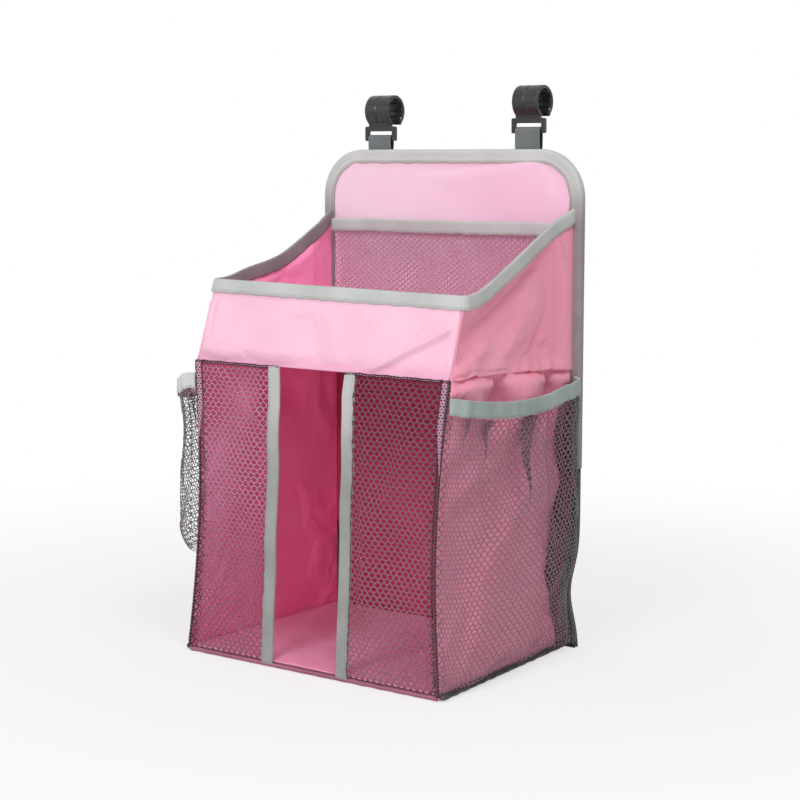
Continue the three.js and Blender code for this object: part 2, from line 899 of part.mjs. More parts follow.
function ringOutline() {
  const toRadians = Math.PI / 180;
  const inner = ringOuterRadius - ringWall;
  const from = ringStartAngle * toRadians;
  const to = ringEndAngle * toRadians;
  const outline = [];
  const outerSteps = 30;
  for (let i = 0; i <= outerSteps; i += 1) {
    const angle = THREE.MathUtils.lerp(from, to, i / outerSteps);
    outline.push([
      ringOffset + ringOuterRadius * Math.cos(angle),
      ringCentreZ + ringOuterRadius * Math.sin(angle),
    ]);
  }
  const innerSteps = gripRibs * 6;
  for (let i = innerSteps; i >= 0; i -= 1) {
    const along = i / innerSteps;
    const angle = THREE.MathUtils.lerp(from, to, along);
    const rib = gripRibHeight * Math.sin(Math.PI * gripRibs * along) ** 6;
    const radius = inner - rib;
    outline.push([ringOffset + radius * Math.cos(angle), ringCentreZ + radius * Math.sin(angle)]);
  }
  return polygon(outline);
}

function makeClipGeometry() {
  const ring = acrossX(ringOutline(), ringWidth - 2 * ringEdgeBevel, {
    bevelEnabled: true,
    bevelThickness: ringEdgeBevel,
    bevelSize: ringEdgeBevel,
    bevelOffset: -ringEdgeBevel,
    bevelSegments: 1,
  });
  const halfPlate = clipPlateThickness / 2;
  const neck = new THREE.Shape();
  const neckBottom = clipSlotRise + clipOverlap;
  const neckTop = ringCentreZ - clipNeckDrop;
  const neckReach = Math.sqrt(ringOuterRadius ** 2 - clipNeckDrop ** 2);
  const neckFront = ringOffset - neckReach + ringEdgeBevel;
  neck.moveTo(-halfPlate, neckBottom);
  neck.quadraticCurveTo(-halfPlate, (clipPlateRise + neckTop) / 2, neckFront, neckTop);
  neck.lineTo(neckFront + clipNeckThickness, neckTop);
  neck.quadraticCurveTo(halfPlate, clipPlateRise + clipNeckThickness, halfPlate, neckBottom);
  const neckBody = acrossX(neck, ringWidth - 2 * ringEdgeBevel);

  const half = clipPlateWidth / 2;
  const plate = new THREE.Shape();
  plate.moveTo(-half, -clipPlateDrop + clipPlateCorner);
  plate.quadraticCurveTo(-half, -clipPlateDrop, -half + clipPlateCorner, -clipPlateDrop);
  plate.lineTo(half - clipPlateCorner, -clipPlateDrop);
  plate.quadraticCurveTo(half, -clipPlateDrop, half, -clipPlateDrop + clipPlateCorner);
  plate.lineTo(half, clipPlateRise - clipPlateCorner);
  plate.quadraticCurveTo(half, clipPlateRise, half - clipPlateCorner, clipPlateRise);
  plate.lineTo(-half + clipPlateCorner, clipPlateRise);
  plate.quadraticCurveTo(-half, clipPlateRise, -half, clipPlateRise - clipPlateCorner);
  const window = polygon([
    [-slotWidth / 2, -clipPlateDrop - clipOverlap],
    [slotWidth / 2, -clipPlateDrop - clipOverlap],
    [slotWidth / 2, clipSlotRise],
    [-slotWidth / 2, clipSlotRise],
  ]);
  const plateBody = standingPlate(plate, clipPlateThickness);
  const windowBody = standingPlate(window, clipPlateThickness + 2 * clipOverlap);
  plateBody.translate(0, -halfPlate, 0);
  windowBody.translate(0, -halfPlate - clipOverlap, 0);

  const bar = new THREE.CylinderGeometry(barRadius, barRadius, slotWidth + 2 * clipOverlap, 16);
  bar.rotateZ(Math.PI / 2);

  const groove = new THREE.Shape();
  groove.absarc(0, 0, ringOuterRadius + clipOverlap, 0, Math.PI * 2);
  const grooveHole = new THREE.Path();
  grooveHole.absarc(0, 0, ringOuterRadius - ringGrooveDepth, 0, Math.PI * 2);
  groove.holes.push(grooveHole);
  const grooveBody = acrossX(groove, ringGrooveWidth, { curveSegments: 36 });
  grooveBody.translate(0, ringOffset, ringCentreZ);
  const grooveTool = subtract(grooveBody, lowerBlock());

  const frame = subtract(plateBody, windowBody);
  const whole = union([ring, neckBody, frame, bar]);
  return subtract(whole, grooveTool);
}

// Block that keeps the groove off the neck and the plate below the ring

function lowerBlock() {
  const grooveEnd = clipNeckDrop - ringEdgeBevel;
  const across = ringGrooveWidth + 2 * clipOverlap;
  const block = new THREE.BoxGeometry(across, ringOuterRadius * 4, ringOuterRadius * 2);
  block.translate(0, ringOffset, ringCentreZ - grooveEnd - ringOuterRadius);
  return block;
}

function makeHangers() {
  const rises = { left: strapRiseLeft, right: strapRiseRight };
  const clip = makeClipGeometry();
  for (const [side, sign] of [['left', -1], ['right', 1]]) {
    const x = (sign * strapSpacing) / 2;
    const tailTop = panelHeight + strapPivotRise - webbing - fit;
    const tailShape = polygon([
      [-strapWidth / 2, panelHeight - strapTailLength],
      [strapWidth / 2, panelHeight - strapTailLength],
      [strapWidth / 2, tailTop],
      [-strapWidth / 2, tailTop],
    ]);
    const tail = standingPlate(tailShape, 2 * webbing);
    tail.translate(x, strapMidY - webbing, 0);
    addPiece(`strap_tail_${side}`, tail, 'webbing');

    const hanger = new THREE.Group();
    hanger.position.set(x, strapMidY, panelHeight + rises[side]);
    organizer.add(hanger);
    addPiece(`strap_loop_${side}`, acrossX(loopProfile(rises[side]), strapWidth), 'webbing', hanger);
    addPiece(`rail_clip_${side}`, clip.clone(), 'blackPlastic', hanger);
  }
}

makeBackPanel();
makeFloor();
makeLowerWalls();
makeLowerFront();
makePiping();
makeTrayBand();
makeRimBinding();
makeInnerPocket();
makeSidePockets();
makeTrayFloor();
makeHangers();

export default organizer;
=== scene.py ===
# %% [markdown]
# This scene dresses a fabric organizer that hangs on a crib rail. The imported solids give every
# place and size. The cloth, the nets, the tapes and the moulded clips are made here, because a
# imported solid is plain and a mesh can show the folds, the threads and the seams.

import math

import bpy
import numpy as np
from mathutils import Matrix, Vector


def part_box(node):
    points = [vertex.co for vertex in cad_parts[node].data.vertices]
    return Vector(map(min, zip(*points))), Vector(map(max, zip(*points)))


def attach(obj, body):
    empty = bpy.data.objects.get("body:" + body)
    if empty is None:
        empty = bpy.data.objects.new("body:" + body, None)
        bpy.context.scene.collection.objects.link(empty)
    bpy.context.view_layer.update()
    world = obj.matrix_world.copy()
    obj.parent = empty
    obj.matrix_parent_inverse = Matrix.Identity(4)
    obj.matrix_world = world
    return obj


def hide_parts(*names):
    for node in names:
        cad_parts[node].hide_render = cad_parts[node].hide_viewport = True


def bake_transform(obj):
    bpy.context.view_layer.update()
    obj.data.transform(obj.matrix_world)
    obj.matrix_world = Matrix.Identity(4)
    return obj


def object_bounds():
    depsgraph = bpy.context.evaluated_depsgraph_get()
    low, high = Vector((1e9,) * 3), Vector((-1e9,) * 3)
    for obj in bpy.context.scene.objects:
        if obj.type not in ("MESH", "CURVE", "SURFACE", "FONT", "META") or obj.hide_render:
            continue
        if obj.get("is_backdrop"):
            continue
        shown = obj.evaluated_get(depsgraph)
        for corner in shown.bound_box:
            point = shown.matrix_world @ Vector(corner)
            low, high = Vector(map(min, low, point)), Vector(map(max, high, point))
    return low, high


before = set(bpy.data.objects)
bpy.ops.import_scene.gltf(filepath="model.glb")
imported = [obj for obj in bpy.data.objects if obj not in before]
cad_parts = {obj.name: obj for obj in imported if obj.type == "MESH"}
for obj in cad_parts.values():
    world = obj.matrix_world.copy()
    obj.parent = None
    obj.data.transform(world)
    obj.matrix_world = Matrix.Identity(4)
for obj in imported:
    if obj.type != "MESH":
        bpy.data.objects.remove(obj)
cad_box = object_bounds()
scene = bpy.context.scene
scene.view_settings.view_transform = "Standard"
mm = 0.001
print("nodes in the frame:", len(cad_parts))

# %% [markdown]
# The walls are thin shells on a box that narrows to the back and leans at the front. Its corners
# are read from the boxes of a few solids, so the cloth follows them if they change.

# %% Sizes of the box
base_low, base_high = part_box("bottom_cover")
tray_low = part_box("tray_side_right")[0]
hoop_low, hoop_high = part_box("back_panel_binding")
flap_low, flap_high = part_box("tray_floor_cover")

clearance = 0.3 * mm
fabric = base_high.z
wrap = 1.3 * mm
front_y = base_low.y
rear_y = base_high.y
half_front = base_high.x
half_rear = tray_low.x + fabric
seam_z = tray_low.z - clearance
seam_y = tray_low.y - 0.1 * mm
rim_front_z = 302 * mm
rim_front_y = seam_y + 20 * mm
rim_rear_z = 362 * mm
rim_level_run = 21 * mm
rim_bend = 7 * mm
waist = 8 * mm
waist_reach = 120 * mm
panel_half_width = hoop_high.x
panel_top = hoop_high.z
panel_radius = 40 * mm
hoop_foot = hoop_low.z
tape_width = 11 * mm
pinch_depth, pinch_height, pinch_reach = 8 * mm, 46 * mm, 28 * mm
sides = (("left", -1), ("right", 1))
print("seam height", round(seam_z, 4), "front", round(front_y, 4), "rear", round(rear_y, 4))

# %% Curves of the box
def mix(a, b, t):
    return a + (b - a) * t


def smooth(t):
    t = np.clip(t, 0.0, 1.0)
    return t * t * (3 - 2 * t)


def bell(x, middle, width):
    return np.exp(-(((x - middle) / width) ** 2))


def wall_x(y):
    return mix(half_front, half_rear, (y - front_y) / (rear_y - front_y))


def lower_front_y(z):
    return mix(front_y, seam_y, z / seam_z)


def band_y(z):
    return mix(seam_y, rim_front_y, (z - seam_z) / (rim_front_z - seam_z))


def lower_wall_x(y, z):
    draw = waist * np.sin(np.pi * z / seam_z)
    return wall_x(y) - draw * (1 - smooth((y - front_y) / waist_reach))


def eased(x, knots, values):
    """A smooth line through values at knots, level at each of them."""
    knots, values = np.array(knots) * mm, np.array(values) * mm
    i = np.clip(np.searchsorted(knots, x) - 1, 0, len(knots) - 2)
    return mix(values[i], values[i + 1], smooth((x - knots[i]) / (knots[i + 1] - knots[i])))


def rim_height(x, y):
    """Height of the rim. Its left side sags, and its front droops a little to the right."""
    bend_y = rim_front_y + rim_level_run
    soft = rim_bend * np.log1p(np.exp((y - bend_y) / rim_bend))
    rim = rim_front_z + (rim_rear_z - rim_front_z) * soft / (rear_y - bend_y)
    left = eased(y, [-65, -40, 26, 93.4], [2.4, 1.8, -8.8, -4.5])
    right = eased(y, [-65, -20, 93.4], [-1.2, 0.0, 0.0])
    return rim + mix(left, right, np.clip(0.5 + x / (2 * half_rear), 0, 1))


def foot_pinch(z):
    """How far the seams of the lower box draw in the foot of the panel."""
    return pinch_depth * bell(z, pinch_height, pinch_reach)


print("half width at the waist", round(float(lower_wall_x(front_y, seam_z / 2)), 4))

# %% [markdown]
# Every sewn piece starts as a grid of points. A part is a bundle of points, faces, cloth
# coordinates in metres and finish numbers, and one object is made of one or more parts. Keeping
# the cloth coordinates in metres lets the weave in the materials have its real pitch everywhere.

# %% Parts and pieces
def grid(columns, rows, place):
    """Points of a sheet: place(u, v) gives x, y and z for u and v from 0 to 1."""
    u, v = np.meshgrid(np.linspace(0, 1, columns + 1), np.linspace(0, 1, rows + 1), indexing="ij")
    x, y, z = place(u, v)
    return np.stack([x + 0 * u, y + 0 * u, z + 0 * u], axis=-1)


def grid_faces(columns, rows, first=0):
    i, j = np.meshgrid(np.arange(columns - 1), np.arange(rows - 1), indexing="ij")
    a = (i * rows + j).ravel() + first
    return np.stack([a, a + rows, a + rows + 1, a + 1], axis=1)


def unit(vectors):
    return vectors / np.maximum(np.linalg.norm(vectors, axis=-1, keepdims=True), 1e-12)


def normals_of(sheet, side=1):
    return side * unit(np.cross(np.gradient(sheet, axis=0), np.gradient(sheet, axis=1)))


def flat_size(sheet):
    """Lengths of the middle row and the middle column, as the cloth was cut."""
    across = np.linalg.norm(np.diff(sheet[:, sheet.shape[1] // 2], axis=0), axis=-1).sum()
    up = np.linalg.norm(np.diff(sheet[sheet.shape[0] // 2], axis=0), axis=-1).sum()
    return across, up


def part(points, faces, cloth, finish=0):
    return {
        "points": np.asarray(points, float).reshape(-1, 3),
        "faces": [tuple(int(k) for k in f) for f in faces],
        "cloth": np.asarray(cloth, float).reshape(-1, 2),
        "finish": np.broadcast_to(finish, len(faces)),
    }


def placed(name, data):
    """Puts a mesh, a lamp or the camera into the scene."""
    made = bpy.data.objects.new(name, data)
    scene.collection.objects.link(made)
    return made


def piece(name, parts, materials, replaces=(), body="organizer"):
    """Makes one smooth-shaded object of its parts, which rides on a body."""
    faces, first = [], 0
    for p in parts:
        faces += [tuple(k + first for k in f) for f in p["faces"]]
        first += len(p["points"])
    kinds = ("points", "cloth", "finish")
    points, cloth, finishes = (np.concatenate([p[kind] for p in parts]) for kind in kinds)
    mesh = bpy.data.meshes.new(name)
    mesh.from_pydata(points.tolist(), [], faces)
    mesh.polygons.foreach_set("material_index", finishes.astype(np.int32))
    mesh.polygons.foreach_set("use_smooth", np.ones(len(faces), bool))
    corners = np.zeros(len(mesh.loops), np.int32)
    mesh.loops.foreach_get("vertex_index", corners)
    layer = mesh.uv_layers.new(name="cloth")
    layer.data.foreach_set("uv", cloth[corners].astype(np.float32).ravel())
    for material in materials:
        mesh.materials.append(material)
    mesh.update()
    made = placed(name, mesh)
    if body:
        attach(made, body)
    if replaces:
        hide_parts(*replaces)
    print(name, "faces", len(faces))
    return made


# %% [markdown]
# A coarse grid is enough to simulate, but its edges would show. A Catmull-Rom curve through the
# grid points gives a finer sheet that still passes through every one of them.

# %% Finer sheets
def refine_one_way(sheet, times):
    count = sheet.shape[0]
    at = np.linspace(0, count - 1, (count - 1) * times + 1)
    i = np.minimum(at.astype(int), count - 2)
    t = (at - i).reshape((-1,) + (1,) * (sheet.ndim - 1))
    here, there = sheet[i], sheet[i + 1]
    first, last = (i > 0).reshape(t.shape), (i + 2 < count).reshape(t.shape)
    before = np.where(first, sheet[np.maximum(i - 1, 0)], 2 * here - there)
    after = np.where(last, sheet[np.minimum(i + 2, count - 1)], 2 * there - here)
    curve = 2 * here + (there - before) * t
    curve += (2 * before - 5 * here + 4 * there - after) * t**2
    curve += (3 * here - before - 3 * there + after) * t**3
    return curve / 2


def refine(sheet):
    once = refine_one_way(sheet, 2)
    return refine_one_way(once.swapaxes(0, 1), 2).swapaxes(0, 1)


def on_sheet(sheet, a, b):
    """The point of a sheet at a and b from 0 to 1, between its grid points."""
    i = np.clip(a * (sheet.shape[0] - 1), 0, sheet.shape[0] - 1.000001)
    j = np.clip(b * (sheet.shape[1] - 1), 0, sheet.shape[1] - 1.000001)
    i0, j0 = i.astype(int), j.astype(int)
    s, t = (i - i0)[:, None], (j - j0)[:, None]
    low = mix(sheet[i0, j0], sheet[i0 + 1, j0], s)
    high = mix(sheet[i0, j0 + 1], sheet[i0 + 1, j0 + 1], s)
    return mix(low, high, t)


# %% [markdown]
# Real folds come from cloth that is a little too big for its seams. So each wall is simulated:
# its seams are held, the cloth between them grows by a percent or two, and it buckles. A cap
# keeps every point near its wall, so that the cloth stays clear of what is next to it.

# %% Cloth simulation
settling_frames = 18
cloth_settings = dict(
    quality=6,
    mass=0.2,
    tension_stiffness=20,
    compression_stiffness=20,
    shear_stiffness=8,
    bending_stiffness=0.4,
    tension_damping=8,
    compression_damping=8,
)


def settle(sheet, growth, cap, calm=(0, 0, 0, 0), held=None):
    """Simulates a sheet whose held points stay, and gives the points where it comes to rest."""
    held = edges_of(sheet) if held is None else held
    columns, rows = sheet.shape[:2]
    mesh = bpy.data.meshes.new("settling")
    mesh.from_pydata(sheet.reshape(-1, 3).tolist(), [], grid_faces(columns, rows).tolist())
    cloth = placed("settling", mesh)
    group = cloth.vertex_groups.new(name="held")
    group.add([int(k) for k in np.flatnonzero(held.ravel())], 1.0, "REPLACE")
    modifier = cloth.modifiers.new("cloth", "CLOTH")
    settings = modifier.settings
    for label, value in cloth_settings.items():
        setattr(settings, label, value)
    settings.vertex_group_mass = "held"
    settings.shrink_min = -growth
    settings.shrink_max = -growth
    settings.effector_weights.gravity = 0.0
    modifier.collision_settings.use_self_collision = False
    modifier.point_cache.frame_start = 1
    modifier.point_cache.frame_end = settling_frames
    for step in range(1, settling_frames + 1):
        scene.frame_set(step)
    evaluated = cloth.evaluated_get(bpy.context.evaluated_depsgraph_get())
    moved = np.zeros(len(mesh.vertices) * 3)
    evaluated.data.vertices.foreach_get("co", moved)
    moved = moved.reshape(sheet.shape)
    bpy.data.objects.remove(cloth)
    bpy.data.meshes.remove(mesh)
    scene.frame_set(1)
    shift = moved - sheet
    length = np.maximum(np.linalg.norm(shift, axis=-1, keepdims=True), 1e-9)
    shift *= cap * np.tanh(length / cap) / length * inner_weight(sheet, *calm)[..., None]
    shift[held] = 0
    print("settled", columns, "by", rows, "largest shift", round(float(np.abs(shift).max() / mm), 2), "mm")
    return sheet + shift


def inner_weight(sheet, left=0.0, right=0.0, low=0.0, high=0.0):
    """1 inside a sheet, and 0 within a distance of each of its edges, where a tape lies flat."""
    across = np.linalg.norm(np.diff(sheet, axis=0), axis=-1)
    across = np.concatenate([np.zeros((1, sheet.shape[1])), np.cumsum(across, axis=0)])
    up = np.linalg.norm(np.diff(sheet, axis=1), axis=-1)
    up = np.concatenate([np.zeros((sheet.shape[0], 1)), np.cumsum(up, axis=1)], axis=1)
    weight = np.ones(sheet.shape[:2])
    runs = (across, across[-1] - across, up, up[:, -1:] - up)
    for run, reach in zip(runs, (left, right, low, high)):
        if reach > 0:
            weight = weight * smooth((run - reach) / (0.8 * reach))
    return weight


def edges_of(sheet):
    held = np.ones(sheet.shape[:2], bool)
    held[1:-1, 1:-1] = False
    return held


def ripple(sheet, seed, size, height):
    """A smooth uneven push off the sheet, that starts the folds where no crease is drawn."""
    numbers = np.random.default_rng(seed)
    push = np.zeros(sheet.shape[:2])
    for _ in range(7):
        turn = numbers.uniform(0, 2 * np.pi)
        wave = numbers.uniform(0.6, 1.6) * size
        start = numbers.uniform(0, 2 * np.pi)
        level, rise = np.cos(turn), np.sin(turn)
        flat = sheet[..., 0] * level + sheet[..., 1] * level + sheet[..., 2] * rise
        push += np.sin(2 * np.pi * flat / wave + start) / 7
    return push * height


def fold(across, up, start, end, width, height, fade=0.35):
    """A ridge on the line from start to end, in the sheet's own two flat coordinates."""
    sx, sy = start
    ex, ey = end
    length = math.hypot(ex - sx, ey - sy)
    along = ((across - sx) * (ex - sx) + (up - sy) * (ey - sy)) / length**2
    off = ((across - sx) * (ey - sy) - (up - sy) * (ex - sx)) / length
    ends = smooth(along / fade + 0.5) * smooth((1 - along) / fade + 0.5)
    return height * bell(off, 0, width) * ends


def creased(push, across, up, rows, weight=1.0):
    """Adds folds to a push, given in millimetres. A fold of negative height is a furrow."""
    for (sx, sy), (ex, ey), width, height, *fade in rows:
        ridge = fold(across, up, (sx * mm, sy * mm), (ex * mm, ey * mm), width * mm, height * mm, *fade)
        push = push + weight * ridge
    return push


def to_edges(sheet, reach):
    """A weight that is 0 on a sheet's seams and 1 away from them."""
    u, v = np.meshgrid(*(np.linspace(0, 1, count) for count in sheet.shape[:2]), indexing="ij")
    near = np.minimum(np.minimum(u, 1 - u), np.minimum(v, 1 - v))
    return smooth(near / reach)


# %% [markdown]
# A wall is a sheet with two skins and a rim between them. Both skins are real faces, because the
# outside and the inside of the cloth get different finishes: the inside is a deeper pink, painted shade.

# %% Shells of cloth
def shell(sheet, thickness, side=1, inner=0):
    """A closed shell round a sheet. side picks which way its outer skin looks."""
    columns, rows = sheet.shape[:2]
    n = normals_of(sheet, side)
    near = sheet + n * thickness / 2
    far = sheet - n * thickness / 2
    count = columns * rows
    top = grid_faces(columns, rows)
    low = grid_faces(columns, rows, count)
    if side > 0:
        low = low[:, ::-1]
    else:
        top = top[:, ::-1]
    index = np.arange(count).reshape(columns, rows)
    ring = [*index[:, 0], *index[-1, 1:], *index[-2::-1, -1], *index[0, -2:0:-1]]
    rim = []
    for k, a in enumerate(ring):
        b = ring[(k + 1) % len(ring)]
        quad = (b, a, a + count, b + count)
        rim.append(quad if side > 0 else quad[::-1])
    faces = np.concatenate([top, low, np.array(rim)])
    finish = np.repeat([0, inner, 0], [len(top), len(low), len(rim)])
    across, up = flat_size(sheet)
    u, v = np.meshgrid(np.linspace(0, across, columns), np.linspace(0, up, rows), indexing="ij")
    flat = np.stack([u, v], axis=-1).reshape(-1, 2)
    skins = np.concatenate([near.reshape(-1, 3), far.reshape(-1, 3)])
    return part(skins, faces, np.concatenate([flat, flat]), finish)


# %% [markdown]
# Tapes and cords are sections carried along a path. Each station of the path knows its place,
# the way out through the cloth and the way up past its edge, so a folded tape keeps both its
# legs on the cloth round every bend.

# %% Sections carried along a path
ahead = np.array([0.0, -1.0, 0.0])
behind = np.array([0.0, 1.0, 0.0])
sideways = np.array([1.0, 0.0, 0.0])
upright = np.array([0.0, 0.0, 1.0])


def run_of(path):
    """The length run along a path at each of its points."""
    return np.concatenate([[0], np.cumsum(np.linalg.norm(np.diff(path, axis=0), axis=1))])


def directions(path):
    return unit(np.gradient(path, axis=0))


def carried(at, out, up, section, finish=0):
    """Carries a closed section of (out, up) pairs along stations, and closes both ends."""
    at, out, up = (np.broadcast_to(np.asarray(a, float), np.shape(at)) for a in (at, out, up))
    sections = np.asarray(section, float)
    if sections.ndim == 2:
        sections = np.repeat(sections[None], len(at), axis=0)
    stations, count = sections.shape[:2]
    points = at[:, None] + out[:, None] * sections[..., :1] + up[:, None] * sections[..., 1:]
    k = np.arange(count)
    m = (k + 1) % count
    one_ring = np.stack([k, m, count + m, count + k], axis=1)
    rings = [one_ring + first for first in np.arange(stations - 1) * count]
    faces = np.concatenate(rings).tolist() + [k[::-1], (stations - 1) * count + k]
    around = run_of(sections[0])
    around = np.minimum(around, around[-1] - around) if count > 12 else around
    cloth = np.stack(np.meshgrid(run_of(at), around, indexing="ij"), axis=-1)
    return outward(part(points, faces, cloth, finish))


def outward(made):
    """Turns a closed part's faces over if they look inwards."""
    corners = np.array([(f[0], f[k], f[k + 1]) for f in made["faces"] for k in range(1, len(f) - 1)])
    a, b, c = (made["points"][corners[:, k]] - made["points"][0] for k in range(3))
    if (a * np.cross(b, c)).sum() < 0:
        made["faces"] = [f[::-1] for f in made["faces"]]
    return made


def folded_section(half_gap, width, thickness, nose=1.0 * mm):
    """Section of a tape folded over an edge: two legs and a round nose, as a closed loop."""
    middle = []
    steps, bow = 5, 0.12 * mm
    for i in range(steps + 1):
        middle.append((-half_gap - bow * math.sin(math.pi * i / steps), -mix(width, nose, i / steps)))
    for i in range(1, 8):
        angle = math.pi * (1 - i / 8)
        middle.append((half_gap * math.cos(angle), -nose + nose * math.sin(angle)))
    for i in range(steps + 1):
        middle.append((half_gap + bow * math.sin(math.pi * i / steps), -mix(nose, width, i / steps)))
    middle = np.array(middle)
    tangent = directions(middle)
    across = np.stack([-tangent[:, 1], tangent[:, 0]], axis=1)
    taper = np.ones(len(middle))
    taper[0] = taper[-1] = 0.55
    offset = across * (thickness / 2 * taper)[:, None]
    return np.concatenate([middle + offset, (middle - offset)[::-1]])


def oval_section(half_out, half_up, count=14):
    turn = np.linspace(0, 2 * np.pi, count, endpoint=False)
    return np.stack([half_out * np.cos(turn), half_up * np.sin(turn)], axis=1)


# %% [markdown]
# Machine stitches are short, fat threads that dip into the cloth at both ends. At this size a
# texture would do from a step away, but as little bodies they also hold up close by.

# %% Rows of stitches
def stitches(path, out, pitch=3.0 * mm, length=2.3 * mm, radius=0.24 * mm, finish=1):
    """A row of stitches along a path. out is the way off the cloth at each point of the path."""
    out = np.broadcast_to(out, path.shape)
    run = run_of(path)
    starts = np.arange(pitch, run[-1] - pitch, pitch)
    points, faces, cloth = [], [], []
    count, rings = 6, 5

    def at_run(values, s):
        return np.array([np.interp(s, run, values[:, k]) for k in range(3)])

    for n, start in enumerate(starts):
        for r in range(rings):
            share = r / (rings - 1)
            s = start + share * length
            centre, away = at_run(path, s), at_run(out, s)
            step = at_run(path, s + 0.2 * mm) - centre
            along = step / max(np.linalg.norm(step), 1e-9)
            across = np.cross(along, away)
            swell = math.sin(math.pi * (0.08 + 0.84 * share)) ** 0.5
            lift = radius * (1.1 * swell - 0.5)
            for k in range(count):
                turn = 2 * math.pi * k / count
                ring = across * math.cos(turn) + away * math.sin(turn)
                points.append(centre + away * lift + ring * radius * swell)
                cloth.append((s, turn * radius))
        first = n * count * rings
        for a in range(first, first + (rings - 1) * count, count):
            for k in range(count):
                m = (k + 1) % count
                faces.append((a + k, a + m, a + count + m, a + count + k))
        faces.append(tuple(first + k for k in range(count))[::-1])
        faces.append(tuple(first + (rings - 1) * count + k for k in range(count)))
    return part(points, faces, cloth, finish)


# %% [markdown]
# The net is knitted, with staggered six-sided holes. It could be a sheet with a pattern of
# transparency, but then its threads would be flat and not in the mesh at all. So every
# hole is a real hole: six-sided cells share their borders, each hole is a smaller rounded ring,
# and the thread between them is thick in its middle and thin at the hole.

# %% Nets
net_pitch = 5.4 * mm
net_row = 3.6 * mm
net_thread = 0.86 * mm
net_depth = 0.6 * mm
corner_thread, side_thread = 0.98, 0.52
edge_thread = 0.3 * mm
same_point, key_shift = 0.02 * mm, 0.37


def net(sheet, width, height, pitch=net_pitch, row=net_row, thread=net_thread, depth=net_depth, finish=0):
    """Lays knitted cells over a sheet that is width by height when flat."""
    half = pitch / 2
    shoulder = (row**2 - pitch**2 / 4) / (2 * row)
    peak = (row**2 + pitch**2 / 4) / (2 * row)
    right_corners = [(0, peak), (half, shoulder), (half, -shoulder)]
    corners = np.array(right_corners + [(0, -peak), (-half, -shoulder), (-half, shoulder)])
    at_corner = np.arange(12) % 2 == 0
    outer = np.empty((12, 2))
    outer[at_corner] = corners
    outer[~at_corner] = (corners + np.roll(corners, -1, axis=0)) / 2
    reach = np.linalg.norm(outer, axis=1)
    cut = np.where(at_corner, corner_thread, side_thread) * thread
    inner = outer * ((reach - cut) / reach)[:, None]
    columns = int(width / pitch) + 2
    rows = int(height / row) + 2
    i, j = np.meshgrid(np.arange(columns), np.arange(rows), indexing="ij")
    centres = np.stack([(i + 0.5 * (j % 2)) * pitch, j * row], axis=-1).reshape(-1, 2)
    limits = np.array([width, height])
    centres = centres[((centres > 0) & (centres < limits)).all(axis=1)]
    outer_flat = np.clip(centres[:, None] + outer[None], 0, limits)
    inner_flat = np.clip(centres[:, None] + inner[None], edge_thread, limits - edge_thread)
    outer_flat = outer_flat.reshape(-1, 2)
    keys = np.floor(outer_flat / same_point + key_shift).astype(np.int64)
    found = np.unique(keys, axis=0, return_index=True, return_inverse=True, return_counts=True)
    first, index, uses = found[1:]
    index = index.reshape(-1)
    shared = outer_flat[first]
    wanted = np.zeros(len(shared), int)
    np.maximum.at(wanted, index, np.tile(np.where(at_corner, 3, 2), len(centres)))
    at_edge = (shared < same_point) | (shared > limits - same_point)
    border = (uses < wanted) | at_edge.any(axis=1)
    holes = inner_flat.reshape(-1, 2)

    def laid(values, flat):
        return on_sheet(values, flat[:, 0] / width, flat[:, 1] / height)

    place = laid(sheet, shared)
    lift = laid(normals_of(sheet), shared) * np.where(border, 0, depth / 2)[:, None]
    total = len(shared)
    index = index.reshape(-1, 12)
    back_index = np.where(border[index], index, index + total)
    hole_index = np.arange(len(holes)).reshape(-1, 12) + 2 * total
    faces = []
    for k in range(12):
        m = (k + 1) % 12
        here, there = hole_index[:, k], hole_index[:, m]
        faces.append(np.stack([index[:, m], index[:, k], here, there], axis=1))
        faces.append(np.stack([back_index[:, k], back_index[:, m], there, here], axis=1))
    faces = np.concatenate(faces)
    cut_short = faces[:, 0] == faces[:, 1]
    faces = faces[~cut_short].tolist() + faces[cut_short][:, 1:].tolist()
    points = np.concatenate([place + lift, place - lift, laid(sheet, holes)])
    return outward(part(points, faces, np.concatenate([shared, shared, holes]), finish))


# %% [markdown]
# Cloth finishes share their small effects as node groups. A woven cloth is a grid of crossing
# threads, a tape has ribs across it, and everything has slow, uneven blotches where the dye and
# the handling differ. A fade along a line lets one cloth go from a pale tone to a deep one, as
# cloth does where daylight reaches it or not. The groups give only heights and masks, and each
# material mixes its own colours with them.

# %% Node groups for cloth
def new_group(name, inputs, outputs):
    group = bpy.data.node_groups.new(name, "ShaderNodeTree")
    for label, kind, value in inputs:
        socket = group.interface.new_socket(name=label, in_out="INPUT", socket_type=kind)
        if value is not None:
            socket.default_value = value
    for label in outputs:
        group.interface.new_socket(name=label, in_out="OUTPUT", socket_type="NodeSocketFloat")
    return group, group.nodes.new("NodeGroupInput"), group.nodes.new("NodeGroupOutput")


def feed(tree, socket, value):
    """Gives a socket a number or a colour, or links another socket to it."""
    if isinstance(value, (int, float)):
        socket.default_value = value
    elif isinstance(value, tuple):
        socket.default_value = (*value, 1.0)
    else:
        tree.links.new(value, socket)


def add_node(tree, kind, **inputs):
    """A node with the inputs given. An underscore in a name stands for a space."""
    node = tree.nodes.new("ShaderNode" + kind)
    for label, value in inputs.items():
        feed(tree, node.inputs[label.replace("_", " ")], value)
    return node


def math_node(tree, kind, *values):
    node = add_node(tree, "Math")
    node.operation = kind
    for socket, value in zip(node.inputs, values):
        feed(tree, socket, value)
    return node.outputs[0]


def wave(tree, coordinate, pitch):
    """A sine along a coordinate, from -1 to 1, that repeats every pitch."""
    turns = math_node(tree, "DIVIDE", coordinate, pitch)
    return math_node(tree, "SINE", math_node(tree, "MULTIPLY", turns, 2 * math.pi))


